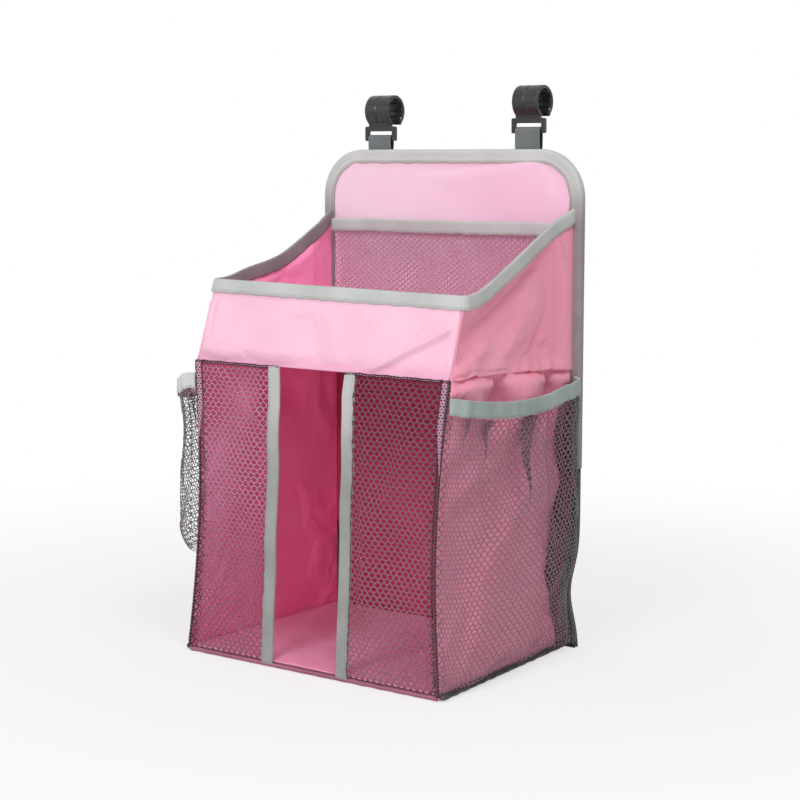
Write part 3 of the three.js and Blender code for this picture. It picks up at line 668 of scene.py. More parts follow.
number, vector = "NodeSocketFloat", "NodeSocketVector"
weave_inputs = [("Cloth", vector, None), ("Pitch", number, 0.0006)]
weave_group, start, end = new_group("Plain weave", weave_inputs, ["Height", "Gaps"])
split = add_node(weave_group, "SeparateXYZ", Vector=start.outputs["Cloth"])
over, under = (wave(weave_group, split.outputs[k], start.outputs["Pitch"]) for k in (0, 1))
product = math_node(weave_group, "MULTIPLY", over, under)
height = math_node(weave_group, "MULTIPLY_ADD", product, 0.5, 0.5)
gaps = math_node(weave_group, "POWER", math_node(weave_group, "SUBTRACT", 1.0, height), 3.0)
feed(weave_group, end.inputs["Height"], height)
feed(weave_group, end.inputs["Gaps"], gaps)

rib_group, start, end = new_group(
    "Ribbed tape",
    [("Cloth", vector, None), ("Pitch", number, 0.0008), ("Width", number, 0.011)],
    ["Height", "Edge", "Pucker"],
)
split = add_node(rib_group, "SeparateXYZ", Vector=start.outputs["Cloth"])
rib = wave(rib_group, split.outputs[0], start.outputs["Pitch"])
feed(rib_group, end.inputs["Height"], math_node(rib_group, "MULTIPLY_ADD", rib, 0.5, 0.5))
share = math_node(rib_group, "DIVIDE", split.outputs[1], start.outputs["Width"])
swing = math_node(rib_group, "SINE", math_node(rib_group, "MULTIPLY", share, math.pi))
near_edge = math_node(rib_group, "MULTIPLY", math_node(rib_group, "ABSOLUTE", swing), 3.2)
near_edge = math_node(rib_group, "MINIMUM", near_edge, 1.0)
feed(rib_group, end.inputs["Edge"], math_node(rib_group, "SUBTRACT", 1.0, near_edge))
stretched = add_node(
    rib_group,
    "CombineXYZ",
    X=math_node(rib_group, "MULTIPLY", split.outputs[0], 160.0),
    Y=math_node(rib_group, "MULTIPLY", split.outputs[1], 45.0),
)
noise = add_node(rib_group, "TexNoise", Scale=1.0, Detail=3.0, Vector=stretched.outputs[0])
feed(rib_group, end.inputs["Pucker"], noise.outputs["Fac"])

blotch_inputs = [("Scale", number, 18.0), ("Seed", number, 0.0)]
blotch_group, start, end = new_group("Uneven dye", blotch_inputs, ["Slow", "Fine"])
place = add_node(blotch_group, "TexCoord")
for label, scale, detail in (("Slow", 1.0, 2.0), ("Fine", 24.0, 4.0)):
    noise = add_node(blotch_group, "TexNoise", Detail=detail, Vector=place.outputs["Object"])
    noise.noise_dimensions = "4D"
    finer = math_node(blotch_group, "MULTIPLY", start.outputs["Scale"], scale)
    feed(blotch_group, noise.inputs["Scale"], finer)
    feed(blotch_group, noise.inputs["W"], start.outputs["Seed"])
    feed(blotch_group, end.inputs[label], noise.outputs["Fac"])

fade_inputs = [(axis, number, 0.0) for axis in "XYZ"] + [("From", number, 0.0), ("To", number, 0.1)]
fade_group, start, end = new_group("Fade along a line", fade_inputs, ["Mask"])
place = add_node(fade_group, "TexCoord")
direction = add_node(fade_group, "CombineXYZ", **{label: start.outputs[label] for label in "XYZ"})
along = add_node(fade_group, "VectorMath")
along.operation = "DOT_PRODUCT"
feed(fade_group, along.inputs[0], place.outputs["Object"])
feed(fade_group, along.inputs[1], direction.outputs[0])
limits = {"From_Min": start.outputs["From"], "From_Max": start.outputs["To"]}
reach = add_node(fade_group, "MapRange", Value=along.outputs["Value"], **limits)
reach.interpolation_type = "SMOOTHSTEP"
feed(fade_group, end.inputs["Mask"], reach.outputs[0])
print("node groups:", [g.name for g in bpy.data.node_groups])

# %% [markdown]
# A material's own tree holds its shader. The helpers below only place a group, mix two colours by
# a mask and feed a height to a bump, so that each finish reads as a short list of what it is.

# %% Helpers for materials
def start_material(name, roughness, sheen, specular):
    material = bpy.data.materials.new(name)
    material.use_nodes = True
    shader = material.node_tree.nodes["Principled BSDF"]
    shader.inputs["Roughness"].default_value = roughness
    shader.inputs["Sheen Weight"].default_value = sheen
    shader.inputs["Sheen Roughness"].default_value = 0.45
    shader.inputs["Specular IOR Level"].default_value = specular
    return material, material.node_tree, shader


def use_group(tree, group, **values):
    node = tree.nodes.new("ShaderNodeGroup")
    node.node_tree = group
    for label, value in values.items():
        feed(tree, node.inputs[label], value)
    return node


def cloth_coordinates(tree):
    node = add_node(tree, "UVMap")
    node.uv_map = "cloth"
    return node.outputs[0]


def blend_colours(tree, mask, low, high):
    node = add_node(tree, "Mix")
    node.data_type = "RGBA"
    for key, value in ((0, mask), (6, low), (7, high)):
        feed(tree, node.inputs[key], value)
    return node.outputs[2]


def darker(colour, share):
    return tuple(c * share for c in colour)


def toned(tree, colour, mask, far):
    """Fades a colour into a second pair of tones. far holds the two tones and the line."""
    light, deep, line = far
    fade = use_group(tree, fade_group, **line)
    return blend_colours(tree, fade.outputs["Mask"], colour, blend_colours(tree, mask, deep, light))


def bump(tree, height, distance, strength, under=None):
    node = add_node(tree, "Bump", Strength=strength, Distance=distance, Height=height)
    if under is not None:
        feed(tree, node.inputs["Normal"], under)
    return node.outputs[0]


def contrast(tree, value, low, high):
    node = add_node(tree, "MapRange", From_Min=low, From_Max=high, Value=value)
    node.interpolation_type = "SMOOTHSTEP"
    return node.outputs[0]


def finished_with(tree, shader, colour, normal):
    feed(tree, shader.inputs["Base Color"], colour)
    feed(tree, shader.inputs["Normal"], normal)


# %% [markdown]
# The pink cloth is a coated polyester: a very fine plain weave with a soft sheen. It is one cloth,
# given several tones as painted light and shade: the sides and the bottom are a deeper copy of the
# band's pink, the panel a paler copy with painted light, and the crimson below the tray is painted
# shade. Light that bounces between pink walls gets deeper, and the inside is a deeper copy of the
# pink, as painted shade. Some daylight comes through the cloth, and a faint glow in the cloth's own
# colour stands for it, as painted light. The gaps between the threads are painted darker, as shade.

# %% Pink cloth
weave_pitch = 0.55 * mm


def woven(name, light, deep, roughness, sheen, seed, glow=0.0, far=None):
    material, tree, shader = start_material(name, roughness, sheen, 0.3)
    weave = use_group(tree, weave_group, Cloth=cloth_coordinates(tree), Pitch=weave_pitch)
    dye = use_group(tree, blotch_group, Scale=16.0, Seed=seed)
    slow = contrast(tree, dye.outputs["Slow"], 0.3, 0.72)
    colour = blend_colours(tree, slow, deep, light)
    if far:
        colour = toned(tree, colour, slow, far)
    # The glow is painted light, for daylight that comes through the cloth.
    if glow:
        feed(tree, shader.inputs["Emission Color"], colour)
        shader.inputs["Emission Strength"].default_value = glow
    # Painted shade: the gaps between the threads are darker.
    mask = math_node(tree, "MULTIPLY", weave.outputs["Gaps"], 0.45)
    creases = bump(tree, dye.outputs["Fine"], 0.5 * mm, 0.25)
    threads = bump(tree, weave.outputs["Height"], 0.06 * mm, 0.6, creases)
    finished_with(tree, shader, blend_colours(tree, mask, colour, darker(deep, 0.8)), threads)
    return material


# Painted shade: the band grows deeper pink along its lower edge, where it turns under.
band_foot_shade = ((0.88, 0.44, 0.61), (0.84, 0.40, 0.57), dict(Z=-1.0, From=-0.254, To=-0.2405))
# Painted shade: the panel's cloth grows deeper pink towards its right.
panel_right_shade = ((0.975, 0.61, 0.775), (0.96, 0.57, 0.735), dict(X=1.0, From=-0.08, To=0.09))
# Painted shade: the inside of the side walls grows deeper towards the rear.
wall_rear_shade = ((0.98, 0.21, 0.44), (0.93, 0.165, 0.38), dict(Y=1.0, From=-0.05, To=0.03))
pink = woven("pink cloth", (0.95, 0.58, 0.725), (0.925, 0.53, 0.68), 0.62, 0.15, 1.0, far=band_foot_shade)
# A deeper copy of the pink for the sides and the bottom: painted shade.
side_pink_shaded = woven("pink side cloth", (0.95, 0.385, 0.515), (0.92, 0.335, 0.46), 0.62, 0.15, 1.5)
# A paler copy of the pink for the panel: painted light.
panel_pink_lit = woven(
    "pink panel cloth", (1.0, 0.715, 0.85), (0.985, 0.675, 0.81), 0.62, 0.15, 1.2, far=panel_right_shade
)
# Deeper copies of the pink for the inside: painted shade, with a faint glow as painted light.
inner_pink_shade_glow = woven("pink cloth inside", (0.98, 0.32, 0.56), (0.94, 0.27, 0.50), 0.7, 0.1, 2.0, 0.13)
wall_pink_shade_glow = woven(
    "pink wall inside", (0.98, 0.33, 0.56), (0.94, 0.28, 0.50), 0.7, 0.1, 2.2, 0.07, wall_rear_shade
)
pink_floor = woven("pink lining", (0.93, 0.38, 0.575), (0.89, 0.32, 0.515), 0.66, 0.15, 3.0)
# Crimson for the panel's face below the tray: painted shade.
crimson = woven("crimson lining", (0.62, 0.075, 0.19), (0.52, 0.055, 0.15), 0.7, 0.1, 3.5)
hem_cloth = woven("hem cloth", (0.40, 0.13, 0.20), (0.30, 0.09, 0.145), 0.7, 0.1, 3.7)
print("cloth finishes:", len(bpy.data.materials))

# %% [markdown]
# The edge tape is a grey ribbon with fine ribs across it, folded over the raw edge and sewn down,
# so it puckers a little along its seam. Its two edges get a painted highlight, and the furrows
# between its ribs are painted darker, as shade. Some tapes are copies with painted light and shade:
# the slot tape is darker and lighter at its top, the panel tape darkens down its legs, the tape
# inside the tray is a shaded copy, and the left pocket's elastic is a lighter copy of the right one.

# %% Tapes and webbing
def ribbed(name, seed, light, deep, edge, roughness=0.75, pitch=0.9 * mm, width=12.4 * mm, far=None):
    material, tree, shader = start_material(name, roughness, 0.15, 0.3)
    ribs = use_group(tree, rib_group, Cloth=cloth_coordinates(tree), Pitch=pitch, Width=width)
    dye = use_group(tree, blotch_group, Scale=30.0, Seed=seed)
    slow = contrast(tree, dye.outputs["Slow"], 0.3, 0.7)
    colour = blend_colours(tree, slow, deep, light)
    # Painted highlight: both edges of the tape are lighter.
    edge_highlight = math_node(tree, "MULTIPLY", ribs.outputs["Edge"], 0.6)
    colour = blend_colours(tree, edge_highlight, colour, edge)
    if far:
        colour = toned(tree, colour, slow, far)
    # Painted shade: the furrows between the ribs are darker.
    furrow = math_node(tree, "MULTIPLY", math_node(tree, "SUBTRACT", 1.0, ribs.outputs["Height"]), 0.3)
    puckers = bump(tree, ribs.outputs["Pucker"], 0.8 * mm, 0.5)
    raised = bump(tree, ribs.outputs["Height"], 0.14 * mm, 0.8, puckers)
    finished_with(tree, shader, blend_colours(tree, furrow, colour, darker(deep, 0.72)), raised)
    return material


# Painted shade: the panel tape darkens down its legs, below the round corners.
shaded_tape_foot = ((0.31, 0.26, 0.27), (0.26, 0.215, 0.225), dict(Z=-1.0, From=-0.395, To=-0.345))
# Painted light: the slot tape grows lighter towards its top.
lit_tape_top = ((0.60, 0.60, 0.595), (0.53, 0.53, 0.525), dict(Z=1.0, From=0.15, To=0.215))
wide_elastic = dict(roughness=0.8, pitch=1.3 * mm, width=13.2 * mm)
strap_weave = dict(roughness=0.8, pitch=1.6 * mm, width=24 * mm)
# The colour of the painted highlight along the tapes' edges.
highlight_colour = (0.76, 0.78, 0.76)
grey_tape = ribbed("grey edge tape", 4.0, (0.61, 0.625, 0.61), (0.52, 0.535, 0.52), highlight_colour)
inner_tape = ribbed("shaded edge tape", 4.1, (0.33, 0.305, 0.31), (0.26, 0.24, 0.245), (0.40, 0.38, 0.385))
panel_tape = ribbed(
    "grey panel tape", 4.2, (0.68, 0.695, 0.68), (0.59, 0.605, 0.59), highlight_colour, far=shaded_tape_foot
)
# A darker copy of the edge tape for the slots: painted shade.
shaded_slot_tape = ribbed(
    "grey slot tape", 4.5, (0.375, 0.385, 0.37), (0.305, 0.315, 0.30), (0.64, 0.65, 0.63),
    width=11.4 * mm, far=lit_tape_top
)
elastic_finish = ribbed(
    "woven elastic", 5.0, (0.40, 0.46, 0.44), (0.32, 0.375, 0.355), (0.70, 0.74, 0.72), **wide_elastic
)
# A lighter copy of the elastic for the left pocket: painted light.
lit_elastic = ribbed(
    "pale woven elastic", 5.5, (0.70, 0.72, 0.71), (0.62, 0.64, 0.63), (0.80, 0.82, 0.81), **wide_elastic
)
webbing_finish = ribbed(
    "grey webbing", 6.0, (0.22, 0.24, 0.245), (0.155, 0.17, 0.175), (0.20, 0.22, 0.22), **strap_weave
)
# The strap's rear layer is coloured near black, much darker than its front layer.
dark_webbing = ribbed(
    "black webbing", 6.5, (0.03, 0.03, 0.033), (0.018, 0.018, 0.02), (0.05, 0.05, 0.055), **strap_weave
)
print("with tapes and webbing:", len(bpy.data.materials))

# %% [markdown]
# Net thread is dark grey knitted yarn with a fine twist and a speckle of lighter filaments. Where
# the net lies over pink cloth its thread looks rose, because each thread is thin and glossy and
# takes on what is next to it. Thin thread can't show that by itself here, so those nets get pink
# copies of the yarn, as painted pink bounce light. The front nets' yarns also carry painted light
# and shade: the left one grows lighter towards its top, the right one darker. Net that lies doubled
# or tucked away gets a darker copy, as painted shade, and the gaps in the twist are painted darker,
# as shade. The thread used for sewing is the same grey as the tape.

# %% Thread and net
def yarn(name, seed, light, deep, twist=0.7 * mm, far=None):
    material, tree, shader = start_material(name, 0.6, 0.2, 0.3)
    weave = use_group(tree, weave_group, Cloth=cloth_coordinates(tree), Pitch=twist)
    dye = use_group(tree, blotch_group, Scale=60.0, Seed=seed)
    fine = contrast(tree, dye.outputs["Fine"], 0.35, 0.65)
    colour = blend_colours(tree, fine, deep, light)
    if far:
        colour = toned(tree, colour, fine, far)
    # Painted shade: the gaps in the twist are darker.
    mask = math_node(tree, "MULTIPLY", weave.outputs["Gaps"], 0.6)
    twisted = bump(tree, weave.outputs["Height"], 0.12 * mm, 0.8)
    finished_with(tree, shader, blend_colours(tree, mask, colour, darker(deep, 0.6)), twisted)
    return material


# Painted light: the left front net's yarn grows lighter towards the top.
lit_upper_net = ((0.58, 0.30, 0.43), (0.46, 0.205, 0.315), dict(Z=1.0, From=0.03, To=0.16))
# Painted shade: the right front net's yarn grows darker towards the top.
shaded_upper_net = ((0.21, 0.10, 0.14), (0.12, 0.05, 0.075), dict(Z=1.0, From=0.10, To=0.23))
net_yarn = yarn("grey net yarn", 7.0, (0.28, 0.265, 0.275), (0.16, 0.145, 0.155))
# Pink copies of the net yarn: painted pink bounce light.
pink_bounce_yarn = yarn("rose net yarn", 7.2, (0.40, 0.20, 0.28), (0.27, 0.12, 0.175))
# A paler pink copy of the net yarn: painted pink bounce light.
pale_bounce_yarn = yarn("pale net yarn", 7.4, (0.72, 0.43, 0.58), (0.58, 0.31, 0.44))
# The front nets' yarns: pink bounce light, with painted light on the left and painted shade on the right.
left_lit_yarn = yarn("left net yarn", 7.3, (0.35, 0.125, 0.205), (0.24, 0.07, 0.12), far=lit_upper_net)
right_shaded_yarn = yarn("right net yarn", 7.5, (0.36, 0.175, 0.25), (0.24, 0.105, 0.155), far=shaded_upper_net)
# A darker copy of the net yarn for doubled and tucked net: painted shade.
shade_net_yarn = yarn("dark net yarn", 7.6, (0.19, 0.172, 0.18), (0.11, 0.096, 0.102))
seam_yarn = yarn("seam net yarn", 7.8, (0.20, 0.10, 0.14), (0.11, 0.045, 0.07))
sewing_thread = yarn("sewing thread", 8.0, (0.42, 0.44, 0.43), (0.28, 0.30, 0.29), 0.4 * mm)
pink_thread = yarn("pink sewing thread", 9.0, (0.80, 0.42, 0.56), (0.66, 0.30, 0.44), 0.4 * mm)
print("with yarns:", len(bpy.data.materials))

# %% [markdown]
# Seam rolls are the same net rolled up tight round the seam allowance. Their surface is a crowd
# of small dark holes, so they get a bump of round pits instead of real ones, and the pits are
# painted darker, as shade in the holes.

# %% Rolled net
def rolled_net(name, light, deep, pitch=2.4 * mm):
    material, tree, shader = start_material(name, 0.8, 0.15, 0.25)
    weave = use_group(tree, weave_group, Cloth=cloth_coordinates(tree), Pitch=pitch)
    dye = use_group(tree, blotch_group, Scale=90.0, Seed=10.0)
    pits = contrast(tree, weave.outputs["Height"], 0.35, 0.75)
    speckle = contrast(tree, dye.outputs["Slow"], 0.35, 0.65)
    # Painted shade: the pits are darker.
    colour = blend_colours(tree, pits, deep, light)
    shaded = blend_colours(tree, pits, darker(deep, 0.7), deep)
    rough = bump(tree, dye.outputs["Fine"], 0.4 * mm, 0.5)
    knotted = bump(tree, pits, 0.5 * mm, 0.9, rough)
    finished_with(tree, shader, blend_colours(tree, speckle, shaded, colour), knotted)
    return material


net_roll = rolled_net("rolled net", (0.20, 0.18, 0.188), (0.07, 0.06, 0.065))
seam_roll = rolled_net("rolled seam", (0.09, 0.03, 0.05), (0.03, 0.008, 0.014))
print("with rolled nets:", len(bpy.data.materials))

# %% [markdown]
# The clips are injection moulded in black polypropylene. Such plastic is never quite black and
# never quite smooth: the mould leaves a fine grain, and handling polishes it unevenly.

# %% Moulded plastic and board
def mottled(name, roughness, specular, scale, seed, low, high, depth):
    material, tree, shader = start_material(name, roughness, 0.0, specular)
    dye = use_group(tree, blotch_group, Scale=scale, Seed=seed)
    grain = bump(tree, dye.outputs["Fine"], depth, 0.5)
    finished_with(tree, shader, blend_colours(tree, dye.outputs["Slow"], low, high), grain)
    return material, tree, shader, dye


clip_plastic, tree, shader, dye = mottled(
    "black moulded plastic", 0.3, 0.42, 140.0, 11.0, (0.017, 0.017, 0.018), (0.034, 0.034, 0.036), 0.05 * mm
)
polish = add_node(tree, "MapRange", To_Min=0.2, To_Max=0.38, Value=dye.outputs["Slow"])
feed(tree, shader.inputs["Roughness"], polish.outputs[0])
board_tones = (0.40, 0.35, 0.27), (0.52, 0.46, 0.37)
board_finish = mottled("grey board", 0.9, 0.2, 200.0, 12.0, *board_tones, 0.1 * mm)[0]
for name in ("back_panel_board", "bottom_board", "tray_floor_board"):
    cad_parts[name].data.materials.clear()
    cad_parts[name].data.materials.append(board_finish)
print("materials:", len(bpy.data.materials))

# %% [markdown]
# The camera and the light come next. The camera's place was worked out from the corners of the
# object in the photograph. One big soft lamp stands high in front. It lights the front squarely and
# only grazes the right side, so that side falls into shade. A second lamp hangs high on the right,
# because light from above brings out the folds of an upright wall. The world fills in all round.

# %% Camera, light and floor
camera_place = (0.87507, -1.18928, 0.40299)
camera_tilt, camera_turn = 7.564, 35.766
camera_data = bpy.data.cameras.new("camera")
camera_data.lens = 82.516
camera_data.sensor_width = 36.0
camera_data.clip_start = 0.05
camera = placed("camera", camera_data)
camera.location = camera_place
camera.rotation_euler = (math.radians(90 - camera_tilt), 0.0, math.radians(camera_turn))
scene.camera = camera
print("camera", camera_place, "tilt", camera_tilt, "turn", camera_turn)


def soft_lamp(name, place, aim, size, power):
    data = bpy.data.lights.new(name, "AREA")
    data.shape = "DISK"
    data.size = size
    data.energy = power
    lamp = placed(name, data)
    lamp.location = place
    direction = np.array(aim) - np.array(place)
    yaw = math.atan2(direction[0], -direction[1])
    pitch = math.atan2(math.hypot(direction[0], direction[1]), -direction[2])
    lamp.rotation_euler = (pitch, 0.0, yaw + math.pi)
    print("lamp", name, power, "W")


soft_lamp("key", (0.22, -1.85, 1.2), (0.0, -0.05, 0.24), 0.8, 16)
soft_lamp("overhead", (0.95, -0.55, 2.1), (0.05, 0.0, 0.2), 0.7, 12.2)
soft_lamp("fill", (-1.5, -1.2, 0.8), (0.0, 0.0, 0.2), 1.2, 2)

# %% [markdown]
# The white surroundings are only seen, and light nothing. So the world and the floor are plain
# white for the camera and for reflections, while the light that they give stays low, and the floor
# keeps some of its own shading under the object, which is the object's shadow.

# %% World and floor
white = (1.0, 1.0, 1.0)
sky_strength = 0.44


def seen_rays(tree):
    """1 where the camera or a reflection looks at a surface, or sees it through a clear one."""
    rays = add_node(tree, "LightPath")
    seen = math_node(tree, "MAXIMUM", rays.outputs["Is Camera Ray"], rays.outputs["Is Transmission Ray"])
    return math_node(tree, "MAXIMUM", seen, rays.outputs["Is Glossy Ray"])


def mixed_shaders(tree, mask, first, second, output):
    blend = add_node(tree, "MixShader")
    for socket, value in zip(blend.inputs, (mask, first.outputs[0], second.outputs[0])):
        feed(tree, socket, value)
    feed(tree, tree.nodes[output].inputs[0], blend.outputs[0])


world = bpy.data.worlds.new("studio")
world.use_nodes = True
scene.world = world
tree = world.node_tree
sky = tree.nodes["Background"]
feed(tree, sky.inputs["Color"], white)
feed(tree, sky.inputs["Strength"], sky_strength)
mixed_shaders(tree, seen_rays(tree), sky, add_node(tree, "Background", Color=white), "World Output")

floor_mesh = bpy.data.meshes.new("floor")
floor_reach = 6.0
floor_corners = [(x * floor_reach, y * floor_reach, 0) for x, y in ((-1, -1), (1, -1), (1, 1), (-1, 1))]
floor_mesh.from_pydata(floor_corners, [], [(0, 1, 2, 3)])
floor = placed("floor", floor_mesh)
floor.location.z = -0.4 * mm
floor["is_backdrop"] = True
floor_paint = bpy.data.materials.new("white floor")
floor_paint.use_nodes = True
tree = floor_paint.node_tree
shader = tree.nodes["Principled BSDF"]
feed(tree, shader.inputs["Base Color"], (0.9, 0.9, 0.9))
feed(tree, shader.inputs["Roughness"], 0.9)
glow = add_node(tree, "Emission", Strength=1.0)
place = add_node(tree, "TexCoord")
distance = add_node(tree, "VectorMath")
distance.operation = "LENGTH"
feed(tree, distance.inputs[0], place.outputs["Object"])
far = contrast(tree, distance.outputs["Value"], 0.2, 0.9)
share = math_node(tree, "MULTIPLY_ADD", far, 0.35, 0.65)
mixed_shaders(tree, math_node(tree, "MULTIPLY", share, seen_rays(tree)), shader, glow, "Material Output")
floor_mesh.materials.append(floor_paint)
print("floor", 2 * floor_reach, "m across")

# %% [markdown]
# The back panel is a stiff board in a pink cover. The cover is cut a little too large, so its two
# faces ripple softly between the edge tape and the seams, away from the board and never into it.
# Below the tray the front face is seen through the slot, in the shade, so it is crimson there, as
# painted shade.

# %% Back panel
def edge_half(z, inset):
    """Half the width of the panel at a height, drawn in by an inset all round."""
    radius = panel_radius - inset
    rise = np.clip(z - (panel_top - panel_radius), 0, radius)
    corner = radius - np.sqrt(np.maximum(radius**2 - rise**2, 0))
    return panel_half_width - inset - corner - foot_pinch(z)


straight_share = 0.8


def edge_height(v, inset):
    """Heights up the panel, closer together where its top corners are round."""
    straight = panel_top - panel_radius
    turn = np.clip((v - straight_share) / (1 - straight_share), 0, 1) * np.pi / 2
    rounded = straight + (panel_radius - inset) * np.sin(turn)
    return np.where(v < straight_share, straight * v / straight_share, rounded)


panel_middle_y = (hoop_low.y + hoop_high.y) / 2
taped_edges = (13 * mm, 13 * mm, 4 * mm, 13 * mm)
declared = []


def refinished(made, finish, where):
    """Gives the faces whose middle is where the test says another finish."""
    middles = np.array([made["points"][list(f)].mean(axis=0) for f in made["faces"]])
    made["finish"] = np.where(where(middles), finish, made["finish"])
    return made


tray_level = flap_low.z
seam_allowance = 9.5 * mm
face_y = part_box("back_panel_face")[0].y + fabric / 2
back_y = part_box("back_panel_rear")[1].y - fabric / 2
for name, way, level, seed, length, height, growth, cap in (
    ("face", 1, face_y, 21, 120 * mm, 1.6 * mm, 0.004, 1.2 * mm),
    ("rear", -1, back_y, 22, 90 * mm, 3.2 * mm, 0.008, 2.2 * mm),
):

    def place(u, v):
        z = edge_height(v, wrap)
        return (2 * u - 1) * edge_half(z, wrap), level, z

    sheet = grid(44, 72, place)
    sheet[..., 1] -= way * inner_weight(sheet, *taped_edges) * np.abs(ripple(sheet, seed, length, height))
    sheet = settle(sheet, growth, cap, taped_edges)
    sheet[..., 1] = way * np.minimum(way * sheet[..., 1], way * level)
    cover = shell(refine(sheet), fabric, way, 1)
    # Below the tray the face gets the crimson finish: painted shade.
    if name == "face":
        cover = refinished(cover, 2, lambda m: m[:, 2] < tray_level)
    cover = refinished(
        cover,
        3,
        lambda m: (m[:, 2] < hoop_foot - 1 * mm) & (np.abs(m[:, 0]) > edge_half(m[:, 2], seam_allowance)),
    )
    # The outside is the paler pink, painted light; the inside skin is the deeper pink, painted shade.
    finishes = [panel_pink_lit, inner_pink_shade_glow, crimson, net_roll]
    made = piece("panel_cloth_" + name, [cover], finishes, ["back_panel_" + name])
    declared.append((made, *flat_size(sheet), "stretched", ["panel_edge_tape"]))

# %% [markdown]
# The tape round the panel is folded over its edge, and a row of stitches holds both its legs. The
# tape isn't perfectly even: each leg wanders by a fraction of a millimetre, as sewn tape does.

# %% Tape over an edge
def uneven(run, seed, waves=(9 * mm, 26 * mm)):
    """Smooth noise along a path, from about -1 to 1."""
    numbers = np.random.default_rng(seed)
    total = np.zeros(len(run))
    for _ in range(6):
        length = numbers.uniform(*waves)
        total += np.sin(2 * np.pi * run / length + numbers.uniform(0, 2 * np.pi)) / 3
    return total


seam_inset = 1.9 * mm


def tape(at, out, up, half_gap, width=tape_width, thickness=1.1 * mm, seed=0, wander=0.35 * mm):
    """A tape folded over an edge, with a row of stitches on each of its legs."""
    run = run_of(at)
    section = folded_section(half_gap, width, thickness)
    sections = np.repeat(section[None], len(at), axis=0)
    leg = np.clip(-section[:, 1] / width, 0, 1)[None]
    side = np.sign(section[:, 0])[None]
    puff = uneven(run, seed)[:, None] * leg * (1 - leg) * 4
    sections[..., 0] += side * (puff * 0.5 + 0.25 * leg) * wander
    sections[..., 1] += uneven(run, seed + 1)[:, None] * leg * wander * np.where(side > 0, 1, -1)
    parts = [carried(at, out, up, sections)]
    for way in (1, -1):
        seam = at - up * (width - seam_inset) + out * way * (half_gap + thickness / 2)
        parts.append(stitches(seam, out * way))
    return parts


def hoop(inset, foot, steps=150):
    """Stations round the panel's edge, from its left foot over the top to its right foot."""
    straight = panel_top - panel_radius
    radius = panel_radius - inset
    rows = []
    for z in np.linspace(foot, straight, steps // 3, endpoint=False):
        half = float(edge_half(z, inset))
        slope = float(edge_half(z + 1 * mm, inset) - edge_half(z - 1 * mm, inset)) / (2 * mm)
        length = math.hypot(1, slope)
        rows.append((half, z, 1 / length, -slope / length))
    centre_x = panel_half_width - panel_radius
    for k in range(19):
        angle = math.radians(90 * k / 18)
        aside, rise = math.cos(angle), math.sin(angle)
        rows.append((centre_x + radius * aside, straight + radius * rise, aside, rise))
    for x in np.linspace(centre_x, 0, steps // 5)[1:]:
        rows.append((x, panel_top - inset, 0.0, 1.0))
    right = np.array(rows)
    left = right[:-1] * (-1, 1, -1, 1)
    return np.concatenate([left, right[::-1]])


edge = hoop(0.55 * mm, hoop_foot)
at = np.stack([edge[:, 0], np.full(len(edge), panel_middle_y), edge[:, 1]], axis=1)
up = np.stack([edge[:, 2], np.zeros(len(edge)), edge[:, 3]], axis=1)
# The panel tape darkens down its legs, as painted shade.
piece(
    "panel_edge_tape",
    tape(at, ahead, up, 3.1 * mm, seed=31),
    [panel_tape, sewing_thread],
    ["back_panel_binding"],
)

# %% [markdown]
# Below the seam height the panel's edge is covered by the same net as the pockets, folded round
# twice. Two layers of net with shifted holes look much darker than one, which is what shows down
# the right rear edge. Their yarn is also a darker copy of the net yarn, as painted shade.

# %% Net round the foot of the panel
def folded_net_sheet(sign, gap, leg, foot, top):
    """A U of net round the panel's edge: along its height, then round from front to rear."""
    length = 2 * leg + np.pi * gap

    def place(u, v):
        z = mix(foot, top, u)
        outline = edge_half(z, 0.4 * mm)
        s = v * length
        front = s < leg
        rear = s > length - leg
        turn = np.clip((s - leg) / gap, 0, np.pi)
        back = np.where(rear, outline - gap - (s - (length - leg)), outline - gap + gap * np.sin(turn))
        x = np.where(front, outline - gap - leg + s, back)
        y = np.where(front, -gap, np.where(rear, gap, -gap * np.cos(turn)))
        return sign * x, panel_middle_y + y, z

    return grid(40, 16, place), length


edge_net_height = 149 * mm
for side, sign in sides:
    parts = []
    for gap, leg, shift in ((3.35 * mm, 9 * mm, 0.0), (2.85 * mm, 8 * mm, 1.7 * mm)):
        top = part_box("net_edge_" + side)[1].z
        sheet, length = folded_net_sheet(sign, gap, leg, 0.4 * mm + shift, top)
        parts.append(net(sheet, edge_net_height - shift, length, 4.4 * mm, 3.0 * mm, 1.1 * mm))
    # Its yarn is the darker copy: painted shade.
    piece("panel_edge_net_" + side, parts, [shade_net_yarn], ["net_edge_" + side])

# %% [markdown]
# The lower box stands on a fabric bottom with a board over it and a lining over the board. Only
# the lining shows, through the slot. It rises in soft waves between its seams.

# %% Floor of the box
def floor_sheet(z, inset):
    def place(u, v):
        y = mix(front_y + inset, rear_y - inset, v)
        return (2 * u - 1) * (wall_x(y) - inset), y, z

    return grid(40, 34, place)


lining_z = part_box("floor_lining")[0].z + fabric / 2
lining = floor_sheet(lining_z, 2.6 * mm)
lining[..., 2] += to_edges(lining, 0.15) * np.abs(ripple(lining, 23, 70 * mm, 1.6 * mm))
lining = settle(lining, 0.01, 1.6 * mm)
lining[..., 2] = np.maximum(lining[..., 2], lining_z)
made = piece("floor_cloth", [shell(refine(lining), fabric)], [pink_floor], ["floor_lining"])
declared.append((made, *flat_size(lining), "stretched", ["bottom_cloth"]))
underside = floor_sheet(fabric / 2 + 0.1 * mm, 1.8 * mm)
cover = shell(refine(underside), fabric * 0.9)
# The bottom is the deeper pink copy: painted shade.
made = piece("bottom_cloth", [cover], [side_pink_shaded], ["bottom_cover"])
declared.append((made, *flat_size(underside), "stretched", ["floor_cloth"]))

